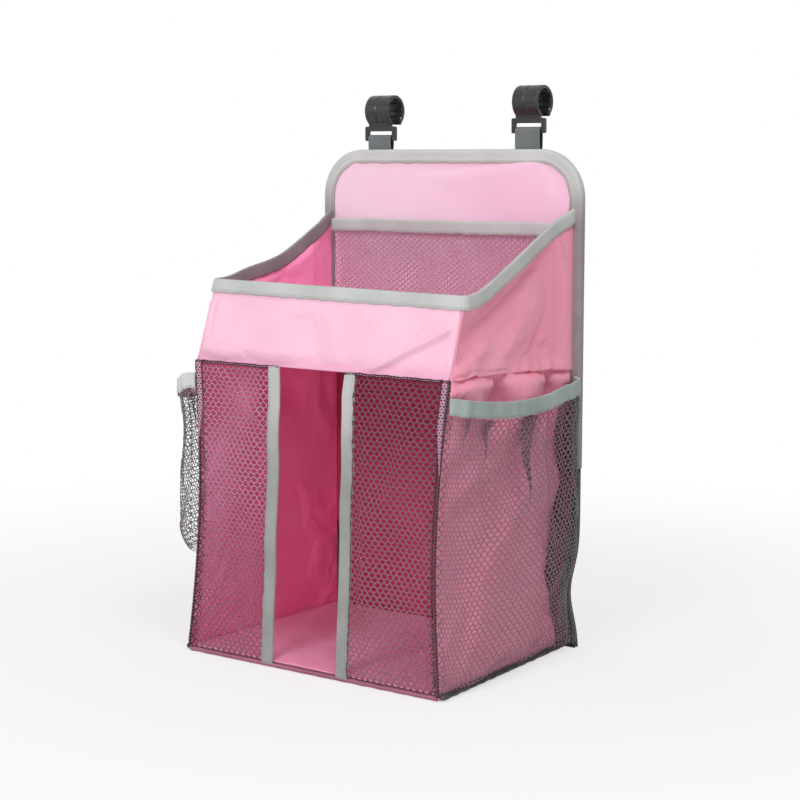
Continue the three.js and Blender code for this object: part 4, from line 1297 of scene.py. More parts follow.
# %% [markdown]
# The side walls are single pink cloth, held at the base, the corner roll, the panel and the tray
# seam. The cloth pleats where it is gathered into the tray seam. Those pleats start from drawn
# ridges and then settle, so they fade out down the wall as real ones do.

# %% Side walls
def side_wall_sheet(sign):
    low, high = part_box("side_panel_right")

    def place(u, v):
        z = mix(low.z, high.z, v)
        y = mix(lower_front_y(z) + 0.4 * mm, high.y, u)
        return sign * (lower_wall_x(y, z) - fabric / 2), y, z

    return grid(56, 60, place)


hem_line_y = np.array([-86, -74, -57, -20, 17, 60, 93.4]) * mm
hem_line_z = np.array([239.6, 238.6, 240.4, 238.0, 236.6, 234.0, 230.6]) * mm
puffs = ((-89, -20, 8.5, 7), (-18, 58, 11.0, 7), (59, 91, 7.0, 0))
wall_creases = (((-70, 150), (10, 190), 12, 4.0), ((-60, 20), (30, 170), 11, 4.5))
seam_flare = 4.5 * mm


def rear_flare(y):
    """How far a side leans out to meet the panel."""
    return seam_flare * smooth((y - 68 * mm) / (25 * mm))


def hem_height(y):
    """Height of the lower edge of the tray's side, which hangs free over the pocket."""
    return np.interp(y, hem_line_y, hem_line_z)


def puffed(y, z):
    """How far the wall puffs out between its pleats, below the hem of the tray's side."""
    below = np.clip((hem_height(y) - z) / (24 * mm), 0, 1)
    out = 0 * y
    for first, last, height, hollow in puffs:
        middle, half = (first + last) / 2 * mm, (last - first) / 2 * mm * (1 - 0.3 * below)
        out = out + height * mm * np.sqrt(np.maximum(1 - ((y - middle) / half) ** 2, 0))
        out = out - hollow * mm * bell(y, (last + 0.5) * mm, (3.5 + 7 * below) * mm)
    return out * smooth((z - 170 * mm) / (38 * mm)) * smooth((hem_height(y) + 1.0 * mm - z) / (9 * mm))


for side, sign in sides:
    sheet = side_wall_sheet(sign)
    y, z = sheet[..., 1], sheet[..., 2]
    room = to_edges(sheet, 0.15) * smooth((60 * mm - y) / (30 * mm)) if sign > 0 else 0 * y
    push = ripple(sheet, 24 + sign, 60 * mm, 2.2 * mm) * mix(1, 2.4, room)
    push = creased(push, y, z, wall_creases, room)
    push = np.minimum(push, mix(0.2 * mm, 5 * mm, room)) * to_edges(sheet, 0.06)
    drawn_out = 0.85 * rear_flare(y) * smooth((z - 212 * mm) / (16 * mm))
    sheet[..., 0] += sign * (push + puffed(y, z) + drawn_out)
    rest = sheet.copy()
    sheet = settle(sheet, 0.016, 3.6 * mm)
    outward_shift = sign * (sheet[..., 0] - rest[..., 0])
    sheet[..., 0] = rest[..., 0] + sign * np.minimum(outward_shift, mix(0.3 * mm, 3 * mm, room))
    wall = shell(refine(sheet), fabric * 0.9, sign, 1)
    # Outside a deeper pink copy, inside a deeper one that darkens to the rear: painted shade, with a faint
    # painted glow inside.
    finishes = [side_pink_shaded, wall_pink_shade_glow]
    made = piece("side_wall_" + side, [wall], finishes, ["side_panel_" + side])
    declared.append((made, *flat_size(sheet), "stretched", ["corner_roll_" + side]))

# %% [markdown]
# The front of the lower box is two nets with a slot between them. Each net hangs between the
# corner roll, the hem, the tray seam and the tape on its free edge.

# %% Front nets
slot_left_z, slot_left_x = (0, 85, 166, 239), (-36.0, -36.0, -35.9, -37.6)
slot_right_z, slot_right_x = (0, 64, 141, 205, 221, 239), (28.0, 28.4, 27.4, 26.4, 25.8, 27.8)


def slot_edge(sign, z):
    """Where a slot tape's free edge lies at a height. The tapes were sewn a little unevenly."""
    heights, places = (slot_left_z, slot_left_x) if sign < 0 else (slot_right_z, slot_right_x)
    return np.interp(z, np.array(heights) * mm, np.array(places) * mm)


def front_net_sheet(sign):
    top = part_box("front_mesh_right")[1].z

    def place(u, v):
        z = mix(2.6 * mm, top, v)
        y = lower_front_y(z) + 0.5 * mm
        outer = sign * (lower_wall_x(y, z) - 1.5 * mm)
        inner = slot_edge(sign, z) + sign * 2.0 * mm
        return mix(outer, inner, u) if sign < 0 else mix(inner, outer, u), y, z

    return grid(34, 60, place)


def level_path(x, y, z):
    """A path along x at one height and depth."""
    return np.stack([x, np.full(len(x), y), np.full(len(x), z)], axis=1)


def selvage(sheet, sign, height, reach=7.5 * mm):
    """The net's edge at the corner seam, folded back behind it."""
    count = round(reach / 1.3 / mm)
    strip = sheet[:count] if sign < 0 else sheet[-count:]
    strip = refine(strip + behind * 0.9 * mm)
    return net(strip, flat_size(strip)[0], height, net_pitch * 0.8, net_row * 0.8)


net_creases = {
    "left": (((-108, 238), (-46, 190), 5, 3.4),),
    "right": (((116, 236), (60, 120), 9, 3.0), ((50, 200), (60, 30), 10, 2.2)),
}
header_width = 7 * mm
for side, sign in sides:
    sheet = front_net_sheet(sign)
    x, z = sheet[..., 0], sheet[..., 2]
    push = ripple(sheet, 28 + sign, 80 * mm, 2.4 * mm)
    push = creased(push, x, z, net_creases[side])
    taped = (5 * mm, 12 * mm, 3 * mm, 3 * mm) if sign < 0 else (12 * mm, 5 * mm, 3 * mm, 3 * mm)
    sheet[..., 1] -= push * inner_weight(sheet, *taped)
    sheet = settle(sheet, 0.012, 4.0 * mm, taped)
    width, height = flat_size(sheet)
    x = np.linspace(slot_edge(sign, seam_z), sign * (half_front - header_width), 60)
    header = level_path(x, lower_front_y(seam_z) - 0.2 * mm, seam_z - 1.2 * mm)
    header[:, 2] += 0.3 * mm * uneven(np.abs(x - x[0]), 36 + sign, (9 * mm, 30 * mm))
    knitted = net(refine(sheet), width, height)
    turned_in = selvage(refine(sheet), sign, height)
    roll_of_net = carried(header, ahead, upright, oval_section(1.1 * mm, 1.1 * mm), 1)
    sewn = stitches(header + ahead * 1.0 * mm, ahead, finish=2)
    # Pink bounce yarns, with painted light on the left net and painted shade on the right.
    finishes = [left_lit_yarn if sign < 0 else right_shaded_yarn, seam_roll, pink_thread]
    parts = [knitted, turned_in, roll_of_net, sewn]
    made = piece("front_net_" + side, parts, finishes, ["front_mesh_" + side])
    declared.append((made, width, height, "stretched", ["slot_tape_" + side]))

# %% [markdown]
# The slot tapes are the same folded ribbon as the rim. They lean with the front and run down over
# the hem to the floor.

# %% Slot tapes
leaning = np.array([0.0, -1.0, 14 / 240])
for side, sign in sides:
    z = np.linspace(1.0 * mm, seam_z - 0.4 * mm, 90)
    y = lower_front_y(z) + 0.4 * mm
    y = y + 2.4 * mm * smooth((5 * mm - z) / (5 * mm)) - 0.6 * mm * smooth((14 * mm - z) / (14 * mm))
    at = np.stack([slot_edge(sign, z), y, z], axis=1)
    at[:, 1] -= 0.5 * mm * uneven(run_of(at), 41 + sign, (40 * mm, 90 * mm))
    folded = tape(at, leaning, -sign * sideways, 0.9 * mm, 10.4 * mm, seed=43 + sign)
    # The darker tape copy, lighter at its top: painted shade and painted light.
    finishes = [shaded_slot_tape, sewing_thread]
    piece("slot_tape_" + side, folded, finishes, ["slot_binding_" + side])

# %% [markdown]
# Along the bottom of the front runs a narrow pink hem, which shows as a thin line below the nets.

# %% Front hem
hem_low, hem_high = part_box("front_hem")
x = np.linspace(hem_low.x, hem_high.x, 120)
at = level_path(x, hem_low.y + 0.75 * mm, 2.1 * mm)
at[:, 2] += 0.15 * mm * uneven(x - x[0], 45)
rolled = carried(at, ahead, upright, oval_section(0.9 * mm, 1.8 * mm, 20))
seam = stitches(at + ahead * 0.9 * mm + upright * 0.5 * mm, ahead)
piece("front_hem_roll", [rolled, seam], [hem_cloth, pink_thread], ["front_hem"])

# %% [markdown]
# The seam rolls at the corners are net rolled round the raw edges of the cloth. A small tube
# carries a sleeve of net cells with real holes, so the roll looks knotty from close by.

# %% Seam rolls
roll_cells_round = 5


def roll(at, radius, seed):
    """A cord of rolled cloth with a sleeve of net, along a path."""
    run = run_of(at)
    along = directions(at)
    aside = unit(np.cross(along, upright if abs(along[0][2]) < 0.7 else behind))
    other = np.cross(along, aside)
    swell = 1 + 0.09 * uneven(run, seed, (7 * mm, 22 * mm))
    cores = oval_section(1.0, 1.0)[None] * (radius * 0.72 * swell)[:, None, None]
    core = carried(at, aside, other, cores, 1)
    angles = np.linspace(0, 2 * np.pi, 17)
    ring = aside[:, None] * np.cos(angles)[None, :, None] + other[:, None] * np.sin(angles)[None, :, None]
    sleeve = at[:, None] + ring * (radius * 0.88 * swell)[:, None, None]
    around = 2 * math.pi * radius
    return [core, net(sleeve, run[-1], around, 2.8 * mm, around / roll_cells_round, 0.7 * mm, 0.5 * mm)]


def corner_strip(sign):
    """The end of the front net, folded over the corner seam at its top, where it is widest."""

    def place(u, v):
        z = mix(168 * mm, seam_z - 0.6 * mm, v)
        wide = 7.5 * mm * smooth((z - 160 * mm) / (50 * mm))
        x = lower_wall_x(lower_front_y(z), z) + 0.9 * mm - u * wide
        bulge = 0.8 * mm * np.sin(np.pi * u)
        return sign * x, lower_front_y(z) - 0.7 * mm - bulge, z

    strip = grid(8, 40, place)
    width, height = flat_size(strip)
    return net(strip, width, height, 2.7 * mm, 2.2 * mm, 0.95 * mm, 0.7 * mm, finish=2)


base_radius = 2.8 * mm
for side, sign in sides:
    z = np.linspace(3.5 * mm, seam_z - 0.4 * mm, 80)
    y = lower_front_y(z)
    x = sign * (lower_wall_x(y, z) - 0.3 * mm)
    at = np.stack([x, y, z], axis=1)
    parts = roll(at, 1.5 * mm, 46 + sign) + [corner_strip(sign)]
    # The net strip uses the pale pink yarn: painted pink bounce light.
    yarns = [seam_yarn, seam_roll, pale_bounce_yarn]
    piece("corner_roll_" + side, parts, yarns, ["corner_piping_" + side])
    y = np.linspace(front_y + 1.8 * mm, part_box("base_piping_right")[1].y, 70)
    x = sign * (wall_x(y) + 1.5 * mm)
    at = np.stack([x, y, np.full(len(y), base_radius + 0.4 * mm)], axis=1)
    parts = roll(at, base_radius, 48 + sign)
    piece("base_roll_" + side, parts, [net_yarn, net_roll], ["base_piping_" + side])

# %% [markdown]
# The tray's wall is sewn from three pieces that meet at the front corners. In plan it is a
# rectangle with round corners, and its front leans back. The plan of each height is worked out
# once here, and the band, the two sides and the rim tape all use it.

# %% Plan of the tray
def corner_radius(z):
    return mix(3.0 * mm, 6.0 * mm, np.clip((z - seam_z) / (rim_front_z - seam_z), 0, 1))


def corner_plan(z):
    """Radius of the front corners at a height, with the wall's place beside and in front of them."""
    r = corner_radius(z)
    front = band_y(np.minimum(z, rim_front_z)) + fabric / 2
    return r, front, wall_x(front + r) - fabric / 2


def side_plan(share, z):
    """A point of the right side at a share from the rear seam to the middle of the corner."""
    r, front, corner_x = corner_plan(z)
    straight = rear_y - (front + r)
    p = share * (straight + r * np.pi / 4)
    turn = np.clip((p - straight) / r, 0, np.pi / 4)
    beside = wall_x(rear_y - p) - fabric / 2 + rear_flare(rear_y - p)
    x = np.where(p > straight, corner_x - r + r * np.cos(turn), beside)
    return x, np.where(p > straight, front + r - r * np.sin(turn), rear_y - p)


def front_plan(share, z):
    """A point of the front at a share from the left corner's middle to the right one's."""
    r, front, corner_x = corner_plan(z)
    half = corner_x - r
    p = (2 * np.abs(share - 0.5)) * (half + r * np.pi / 4)
    turn = np.clip((p - half) / r, 0, np.pi / 4)
    x = np.where(p > half, half + r * np.sin(turn), p)
    return np.sign(share - 0.5) * x, np.where(p > half, front + r - r * np.cos(turn), front)


print("corner of the tray's plan at the rim", [round(float(c), 4) for c in side_plan(1.0, rim_front_z)])

# %% [markdown]
# The band and the sides get the creases that the photograph shows, drawn as ridges. The lower
# edge of each side hangs free over the pocket as a wavy hem, because it isn't caught in the seam.

# %% Tray sides
tray_creases = (
    ((66, 328), (-84, 258), 9, -8.0, 0.15),
    ((48, 290), (-24, 246), 12, 4.0, 0.5),
    ((60, 274), (34, 248), 6, -4.5, 0.5),
    ((92, 262), (22, 241), 5, -3.6),
    ((-30, 262), (-80, 244), 7, 3.0),
)
under_rim = 1.2 * mm
calm_left = 0.25
for side, sign in sides:

    def place(u, v):
        z = seam_z + 0 * u
        for _ in range(2):
            x, y = side_plan(1 - u, z)
            z = mix(hem_height(y), rim_height(sign * x, y) - under_rim, v)
        return sign * x, y, z

    sheet = grid(64, 44, place)
    y, z = sheet[..., 1], sheet[..., 2]
    push = creased(ripple(sheet, 50 + sign, 90 * mm, 1.8 * mm), y, z, tray_creases)
    deepest = mix(-0.4 * mm, -8.5 * mm, smooth((z - 246 * mm) / (16 * mm)))
    push = np.maximum(push, deepest) * (1.0 if sign > 0 else calm_left)
    taped = (3 * mm, 9 * mm, 3 * mm, 10 * mm)
    plain = sign * sheet[..., 0]
    sheet[..., 0] += sign * push * inner_weight(sheet, *taped)
    held = edges_of(sheet) | (z < seam_z + 5 * mm)
    drawn = sheet[..., 0].copy()
    sheet = settle(sheet, 0.012, 3.2 * mm, taped, held)
    near_ledge = 1 - smooth((z - 246 * mm) / (12 * mm))
    sheet[..., 0] = mix(sheet[..., 0], drawn, near_ledge)
    beside_flap = mix(9 * mm, 0.3 * mm, smooth((y - 40 * mm) / (30 * mm)))
    sheet[..., 0] = sign * np.maximum(sign * sheet[..., 0], plain - beside_flap)
    waves = uneven(sheet[:, 0, 1] - sheet[0, 0, 1], 52 + sign, (16 * mm, 44 * mm))[:, None]
    hang = 1 - smooth((sheet[..., 2] - hem_height(sheet[..., 1])) / (13 * mm))
    column = np.arange(len(sheet))[:, None]
    ends = smooth(np.minimum(column, column[::-1]) / 6)
    sheet[..., 0] += sign * hang * (0.7 * mm + ends * (2.8 * mm + 1.6 * mm * waves))
    sheet[..., 2] += hang * ends * 0.9 * mm * waves
    wall = shell(refine(sheet), fabric * 0.9, sign, 1)
    # Outside the deeper pink copy, inside the deeper inside pink with a glow: painted shade and painted
    # light.
    made = piece("tray_wall_" + side, [wall], [side_pink_shaded, inner_pink_shade_glow], ["tray_side_" + side])
    declared.append((made, *flat_size(sheet), "stretched", ["rim_tape"]))

# %% Front band
def place(u, v):
    x, y = front_plan(u, rim_front_z + 0 * v)
    z = mix(seam_z - 0.6 * mm, rim_height(x, y) - under_rim, v)
    return *front_plan(u, z), z


sheet = grid(84, 26, place)
x, z = sheet[..., 0], sheet[..., 2]
band_creases = (
    ((44, 238), (120, 279), 2.8, 3.6, 0.2),
    ((52, 236), (122, 272), 5, -1.6),
    ((-132, 249), (-20, 251), 5.5, 4.4),
)
push = creased(ripple(sheet, 54, 80 * mm, 1.8 * mm), x, z, band_creases)
taped = (3 * mm, 3 * mm, 2 * mm, 12 * mm)
sheet[..., 1] -= push * inner_weight(sheet, *taped)
sheet = settle(sheet, 0.012, 2.6 * mm, taped)
corner_seams = []
for sign in (-1, 1):
    z = np.linspace(seam_z + 0.5 * mm, rim_front_z - 15 * mm, 30)
    xs, ys = side_plan(np.ones(len(z)), z)
    at = np.stack([sign * (xs + 0.3 * mm), ys - 0.3 * mm, z], axis=1)
    away = np.array([sign * 0.7071, -0.7071, 0.0])
    along = np.array([sign * 0.7071, 0.7071, 0.0])
    corner_seams.append(carried(at, away, along, oval_section(0.7 * mm, 0.5 * mm, 12)))
band = [shell(refine(sheet), fabric * 0.9, 1, 1)] + corner_seams
# The band darkens along its lower edge and its inner skin is the deeper pink: painted shade.
made = piece("front_band_cloth", band, [pink, inner_pink_shade_glow], ["front_band"])
declared.append((made, *flat_size(sheet), "stretched", ["rim_tape"]))

# %% [markdown]
# The rim tape goes round in one run: up the left side, round both front corners and up the right
# side. At each station its way out and its way up come from the cloth below it, so that it turns
# the corner and leans with the band without a twist.

# %% Rim tape
eighth = math.pi / 4
corner_reach = 6 * mm


def rim_stations():
    """Place and turn of the tape's stations, with its lean, from the right rear to the middle."""
    rows = []
    z = rim_front_z
    depth = rear_y - rim_front_y
    for share in np.linspace(0.0, 1.0, 84):
        place, below = side_plan(share, z), side_plan(share, z - tape_width)
        turn = max(0.0, eighth * (share * depth - (depth - corner_reach)) / (corner_reach * math.pi / 4))
        rows.append((*place, min(turn, eighth), place[0] - below[0], place[1] - below[1]))
    for share in np.linspace(1.0, 0.5, 60)[1:]:
        place, below = front_plan(share, z), front_plan(share, z - tape_width)
        past = abs(place[0]) - (wall_x(place[1]) - 6.5 * mm)
        turn = math.pi / 2 if past < 0 else eighth + eighth * (1 - past / (corner_reach * 0.7071))
        turn = min(max(turn, eighth), math.pi / 2)
        rows.append((*place, turn, place[0] - below[0], place[1] - below[1]))
    return np.array(rows, float)


right = rim_stations()
left = right[::-1][1:] * (-1, 1, 1, -1, 1)
left[:, 2] = np.pi - left[:, 2]
plan = np.concatenate([right, left])
at = np.stack([plan[:, 0], plan[:, 1], rim_height(plan[:, 0], plan[:, 1]) - 0.55 * mm], axis=1)
plain_out = np.stack([np.cos(plan[:, 2]), -np.sin(plan[:, 2]), np.zeros(len(plan))], axis=1)
along = directions(at)
up = np.stack([plan[:, 3], plan[:, 4], np.full(len(plan), tape_width)], axis=1)
up = unit(up - along * (along * up).sum(axis=1, keepdims=True))
out = np.cross(up, along)
out *= np.sign((out * plain_out).sum(axis=1, keepdims=True))
at += out * (0.4 * mm * uneven(run_of(at), 56, (50 * mm, 120 * mm)))[:, None]


def inner_leg(m):
    """Where the tape lies inside the tray's sides, which is in shade and takes up their colour."""
    middle = wall_x(m[:, 1]) + rear_flare(m[:, 1]) - fabric / 2
    return (np.abs(m[:, 0]) < middle) & (m[:, 1] > rim_front_y + 4 * mm)


parts = tape(at, out, up, 1.15 * mm, seed=57)
parts[0] = refinished(parts[0], 2, inner_leg)
piece("rim_tape", parts, [grey_tape, sewing_thread, inner_tape], ["rim_binding"])

# %% [markdown]
# On the back wall inside the tray is a flat net pocket with a taped edge. Its net is cut the other
# way round than in the side pockets, so its cells stand on their flat sides.

# %% Inner net pocket
pocket_low, pocket_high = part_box("inner_pocket_mesh")
edge_low, edge_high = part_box("inner_pocket_binding")


def place(u, v):
    z = mix(pocket_low.z + 0.3 * mm, pocket_high.z - 0.6 * mm, v)
    y = (pocket_low.y + pocket_high.y) / 2 + 3.0 * mm * np.sin(np.pi * np.clip(1 - v, 0, 1)) ** 2
    return (2 * u - 1) * (pocket_high.x - 0.6 * mm), y, z


sheet = grid(60, 30, place)
taped = (3 * mm, 3 * mm, 3 * mm, 12 * mm)
sheet[..., 1] += inner_weight(sheet, *taped) * np.abs(ripple(sheet, 60, 70 * mm, 2.0 * mm))
sheet = settle(sheet, 0.01, 1.8 * mm, taped)
width, height = flat_size(sheet)
knitted = net(refine(sheet).swapaxes(0, 1), height, width, 4.5 * mm, 3.0 * mm, 0.8 * mm)
# Pale pink yarn: painted pink bounce light.
made = piece("inner_net", [knitted], [pale_bounce_yarn], ["inner_pocket_mesh"])
declared.append((made, width, height, "stretched", ["inner_net_tape"]))
x = np.linspace(edge_low.x, edge_high.x, 100)
at = level_path(x, (edge_low.y + edge_high.y) / 2, edge_high.z - 0.5 * mm)
at[:, 2] += 0.3 * mm * uneven(x - x[0], 61, (60 * mm, 140 * mm)) - 0.3 * mm
edge_tape = tape(at, ahead, upright, 1.15 * mm, 10.6 * mm, seed=62)
piece("inner_net_tape", edge_tape, [grey_tape, sewing_thread], ["inner_pocket_binding"])

# %% [markdown]
# Each side pocket is a net gathered at its top by an elastic. Its surface is worked out from how
# far it stands off the wall: most in the middle and nothing at its two side seams. The gathers
# are soft pleats that start under the elastic and run out down the pocket.

# %% Side pockets
pocket_rear = 88 * mm
pockets = {
    "left": dict(sign=-1, bottom=80, top=229, bulge=44, square=3.0, sag=14, droop=8, rise=22),
    "right": dict(sign=1, bottom=3.2, top=227, bulge=18, square=2.4, sag=8, droop=2, rise=70),
}


def pocket_top(p, s):
    return p["top"] * mm - p["sag"] * mm * (1 - np.abs(2 * s - 1) ** p["droop"])


def pocket_point(p, s, z):
    """The point of a pocket at a share s from front to rear and a height."""
    y = mix(lower_front_y(z) + 1.2 * mm, pocket_rear, s)
    across = np.maximum(1 - np.abs(2 * s - 1) ** p["square"], 0) ** (1 / p["square"])
    rise = np.clip((z - p["bottom"] * mm) / (p["rise"] * mm), 0, 1)
    lift = np.sqrt(np.maximum(1 - (1 - rise) ** 2, 0))
    flare = 7.8 * mm - foot_pinch(z)
    x = lower_wall_x(y, z) + 1.3 * mm + p["bulge"] * mm * across * lift + flare * smooth((s - 0.8) / 0.2)
    return p["sign"] * x, y, z


def closer_at_ends(shares):
    """Shares from 0 to 1 that crowd towards both ends, where a pocket turns sharply."""
    s = 0.5 - 0.5 * np.cos(np.pi * shares)
    return (s - s.min()) / (s.max() - s.min())


def keep_off_wall(points, sign, gap):
    """Moves points outward where they are nearer than a gap to the side wall."""
    room = sign * points[..., 0] - (lower_wall_x(points[..., 1], points[..., 2]) + gap)
    points[..., 0] += sign * np.maximum(-room, 0)


def tuck_edge(z):
    """How far forward the tucked net reaches at a height."""
    return eased(z, [0, 12, 42, 70, 112, 142, 160, 230], [79, 77, 66, 58, 68, 81, 75, 72])


tuck_foot, tuck_top = 4 * mm, 213 * mm


def rear_tucks(sheet):
    """Spare net that is tucked in behind the rear of the right pocket, in two crumpled layers."""
    layers = []
    for number, (inward, pitch) in enumerate(((1.2 * mm, 3.4 * mm), (2.4 * mm, 3.9 * mm))):

        def place(u, v):
            z = mix(tuck_foot, tuck_top, v)
            y = mix(tuck_edge(z) + number * 1.5 * mm, 91 * mm, u)
            share = np.clip((y + 90 * mm) / (178 * mm), 0, 1)
            high_share = np.clip((z - tuck_foot) / (216 * mm), 0, 1)
            outer_x = on_sheet(sheet, share.ravel(), high_share.ravel())[:, 0].reshape(y.shape)
            wall_side = lower_wall_x(y, z) + 0.8 * mm
            folds = 0.5 + 0.5 * np.sin(2 * np.pi * (u * 3.3 + 0.6 * np.sin(v * 9 + number) + number * 0.4))
            return mix(wall_side, np.maximum(outer_x - inward, wall_side), folds * np.minimum(1, 6 * u)), y, z

        layer = grid(30, 64, place)
        width, height = flat_size(layer)
        layers.append(net(refine(layer), width, height, pitch, 2.8 * mm, 0.95 * mm))
    return layers, 2 * width, height


def pleat(sheet, share, wide, foot, number):
    """Net doubled up behind a pocket's net: wide under the elastic, and nothing at its foot."""

    def place(u, v):
        b = mix(foot, 0.94, v)
        a = share + (u - 0.5) * wide * smooth(v) + 0.006 * np.sin(7 * v + number)
        x, y, z = on_sheet(sheet, a.ravel(), b.ravel()).T.reshape((3,) + a.shape)
        return x - np.sign(x) * (0.9 * mm + 0.5 * mm * np.sin(np.pi * u)), y, z

    strip = grid(6, 30, place)
    tall = flat_size(strip)[1]
    across = np.linalg.norm(strip[-1, -1] - strip[0, -1])
    return net(refine(strip), across, tall, 2.6 * mm, 2.2 * mm, 0.8 * mm, 0.5 * mm, finish=2)


pleats = {
    "left": ((0.3, 0.05, 0.7), (0.56, 0.04, 0.75)),
    "right": ((0.29, 0.04, 0.8), (0.51, 0.10, 0.63), (0.72, 0.03, 0.8), (0.15, 0.03, 0.84)),
}
gathers = {
    "left": (
        (0.1, 0.03, 2.0),
        (0.22, 0.035, 2.4),
        (0.38, 0.03, 1.8),
        (0.52, 0.04, 2.4),
        (0.68, 0.03, 2.0),
        (0.82, 0.035, 2.2),
    ),
    "right": (
        (0.12, 0.025, 1.4),
        (0.27, 0.03, 1.8),
        (0.42, 0.03, 2.6),
        (0.55, 0.03, 1.6),
        (0.66, 0.035, 3.4),
        (0.78, 0.03, 2.6),
        (0.88, 0.025, 2.0),
    ),
}
net_gap, band_gap = 1.2 * mm, 2.0 * mm
for side, p in pockets.items():
    sign = p["sign"]

    def place(u, v):
        s = closer_at_ends(mix(0.04, 0.96, u))
        return pocket_point(p, s, mix(p["bottom"] * mm, pocket_top(p, s) - 1.3 * mm, v))

    sheet = grid(60, 46, place)
    share, height_share = np.linspace(0, 1, 61)[:, None], np.linspace(0, 1, 47)[None]
    push = ripple(sheet, 64 + sign, 60 * mm, 2.0 * mm) * to_edges(sheet, 0.12)
    for middle, width, depth in gathers[side]:
        lean_over = middle + 0.05 * (1 - height_share)
        fade = smooth((height_share - 0.25) / 0.6) * smooth((1 - height_share) / 0.04 + 0.35)
        push -= depth * mm * bell(share, lean_over, width) * fade
    fade_ends = smooth(np.minimum(share, 1 - share) / 0.06)
    sheet += normals_of(sheet, sign) * (push * fade_ends)[..., None]
    keep_off_wall(sheet, sign, net_gap)
    sheet = settle(sheet, 0.012, 3.0 * mm, (3 * mm, 3 * mm, 3 * mm, 12 * mm))
    keep_off_wall(sheet, sign, net_gap)
    width, height = flat_size(sheet)
    knitted = net(refine(sheet), width, height, thread=0.76 * mm)
    if side == "right":
        tucks, tuck_width, tuck_height = rear_tucks(sheet)
        # The tucked net uses the darker yarn: painted shade.
        made = piece("net_tucks_right", tucks, [shade_net_yarn])
        declared.append((made, tuck_width, tuck_height, "gathered", ["side_wall_right"]))
        # Where the right pocket's net lies over the pink wall, its yarn is the pink copy: painted pink bounce
        # light.
        knitted = refinished(knitted, 1, lambda m: m[:, 1] < tuck_edge(m[:, 2]) - 2 * mm)
    doubled = [pleat(sheet, *row, number) for number, row in enumerate(pleats[side])]
    # The doubled pleats use the darker yarn: painted shade.
    finishes = [net_yarn, pink_bounce_yarn, shade_net_yarn]
    made = piece("side_net_" + side, [knitted] + doubled, finishes, ["side_pocket_" + side])
    declared.append((made, width, height, "gathered", ["pocket_band_" + side]))

    s = closer_at_ends(np.linspace(0.015, 0.985, 110))
    top = pocket_top(p, s)
    at = np.stack(pocket_point(p, s, top - 6 * mm), axis=1)
    at[:, 2] = top - 0.6 * mm
    along = directions(at)
    up = unit(upright - along * along[:, 2:3])
    out = np.cross(along, up) * sign
    at += out * (0.5 * mm * uneven(run_of(at), 66 + sign, (10 * mm, 24 * mm)))[:, None]
    keep_off_wall(at, sign, band_gap)
    band = tape(at, out, up, 0.75 * mm, 12.3 * mm, 1.0 * mm, seed=68 + sign, wander=0.5 * mm)
    # The left pocket's elastic is the lighter copy: painted light.
    finishes = [elastic_finish if side == "right" else lit_elastic, sewing_thread]
    piece("pocket_band_" + side, band, finishes, ["pocket_elastic_" + side])

# %% [markdown]
# The tray floor is a loose flap: a board in a sewn sleeve, hung on a strip of cloth at the rear.
# It lies on a narrow fabric ledge. The sleeve is a thin cushion with a round edge, so it is made
# as two skins that meet round the rim, each with a few shallow waves.

# %% Tray floor
def sleeve(low, high):
    """A closed flat sleeve between two corners of a box, with a round edge."""
    middle = (np.array(low) + np.array(high)) / 2
    half = (np.array(high) - np.array(low)) / 2
    columns, rows = 71, 49
    u, v = np.meshgrid(*(np.sin(np.linspace(-1, 1, n) * np.pi / 2) for n in (columns, rows)), indexing="ij")
    swell = (1 - np.abs(u) ** 60) ** 0.5 * (1 - np.abs(v) ** 44) ** 0.5
    flat = np.stack([middle[0] + u * half[0], middle[1] + v * half[1], middle[2] + 0 * u], axis=-1)
    top, under = flat.copy(), flat.copy()
    waves = np.abs(ripple(flat, 70, 90 * mm, 0.9 * mm))
    top[..., 2] += swell * (half[2] - 0.3 * mm + waves * swell)
    under[..., 2] -= swell * (half[2] - 0.2 * mm)
    index = np.arange(columns * rows).reshape(columns, rows)
    under_index = np.where(edges_of(flat), index, index + columns * rows)
    quads = grid_faces(columns, rows)
    faces = np.concatenate([quads, under_index.reshape(-1)[quads][:, ::-1]])
    used, compact = np.unique(faces, return_inverse=True)
    points = np.concatenate([top.reshape(-1, 3), under.reshape(-1, 3)])
    cloth = np.tile(flat[..., :2].reshape(-1, 2), (2, 1))
    return part(points[used], compact.reshape(faces.shape), cloth[used])


seam_rows = []
inset = 4.5 * mm
far_x, low_y, high_y = flap_high.x - inset, flap_low.y + inset, flap_high.y - inset
corners = [(-far_x, high_y), (-far_x, low_y), (far_x, low_y), (far_x, high_y)]
for first, last in ((1, 2), (2, 3), (0, 1)):
    flat = mix(np.array(corners[first]), np.array(corners[last]), np.linspace(0, 1, 60)[:, None])
    row = np.concatenate([flat, np.full((60, 1), flap_high.z - 0.1 * mm)], axis=1)
    seam_rows.append(stitches(row, upright))
cushion = [sleeve(flap_low, flap_high)] + seam_rows
finishes = [pink_floor, pink_thread]
piece("tray_floor_sleeve", cushion, finishes, ["tray_floor_cover"], "tray_floor")

# %% [markdown]
# The strip that hangs the flap is soft and crosses the hinge, so it rides on neither body. It
# starts at the panel and ends on top of the flap.

# %% Hinge strip
strip_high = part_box("tray_hinge_tape")[1]


def place(u, v):
    y = mix(strip_high.y, flap_high.y - 8 * mm, v)
    rise = smooth((strip_high.y - 3 * mm - y) / (6 * mm))
    z = mix(strip_high.z - 0.5 * mm, flap_high.z + 0.45 * mm, rise)
    return (2 * u - 1) * strip_high.x, y, z


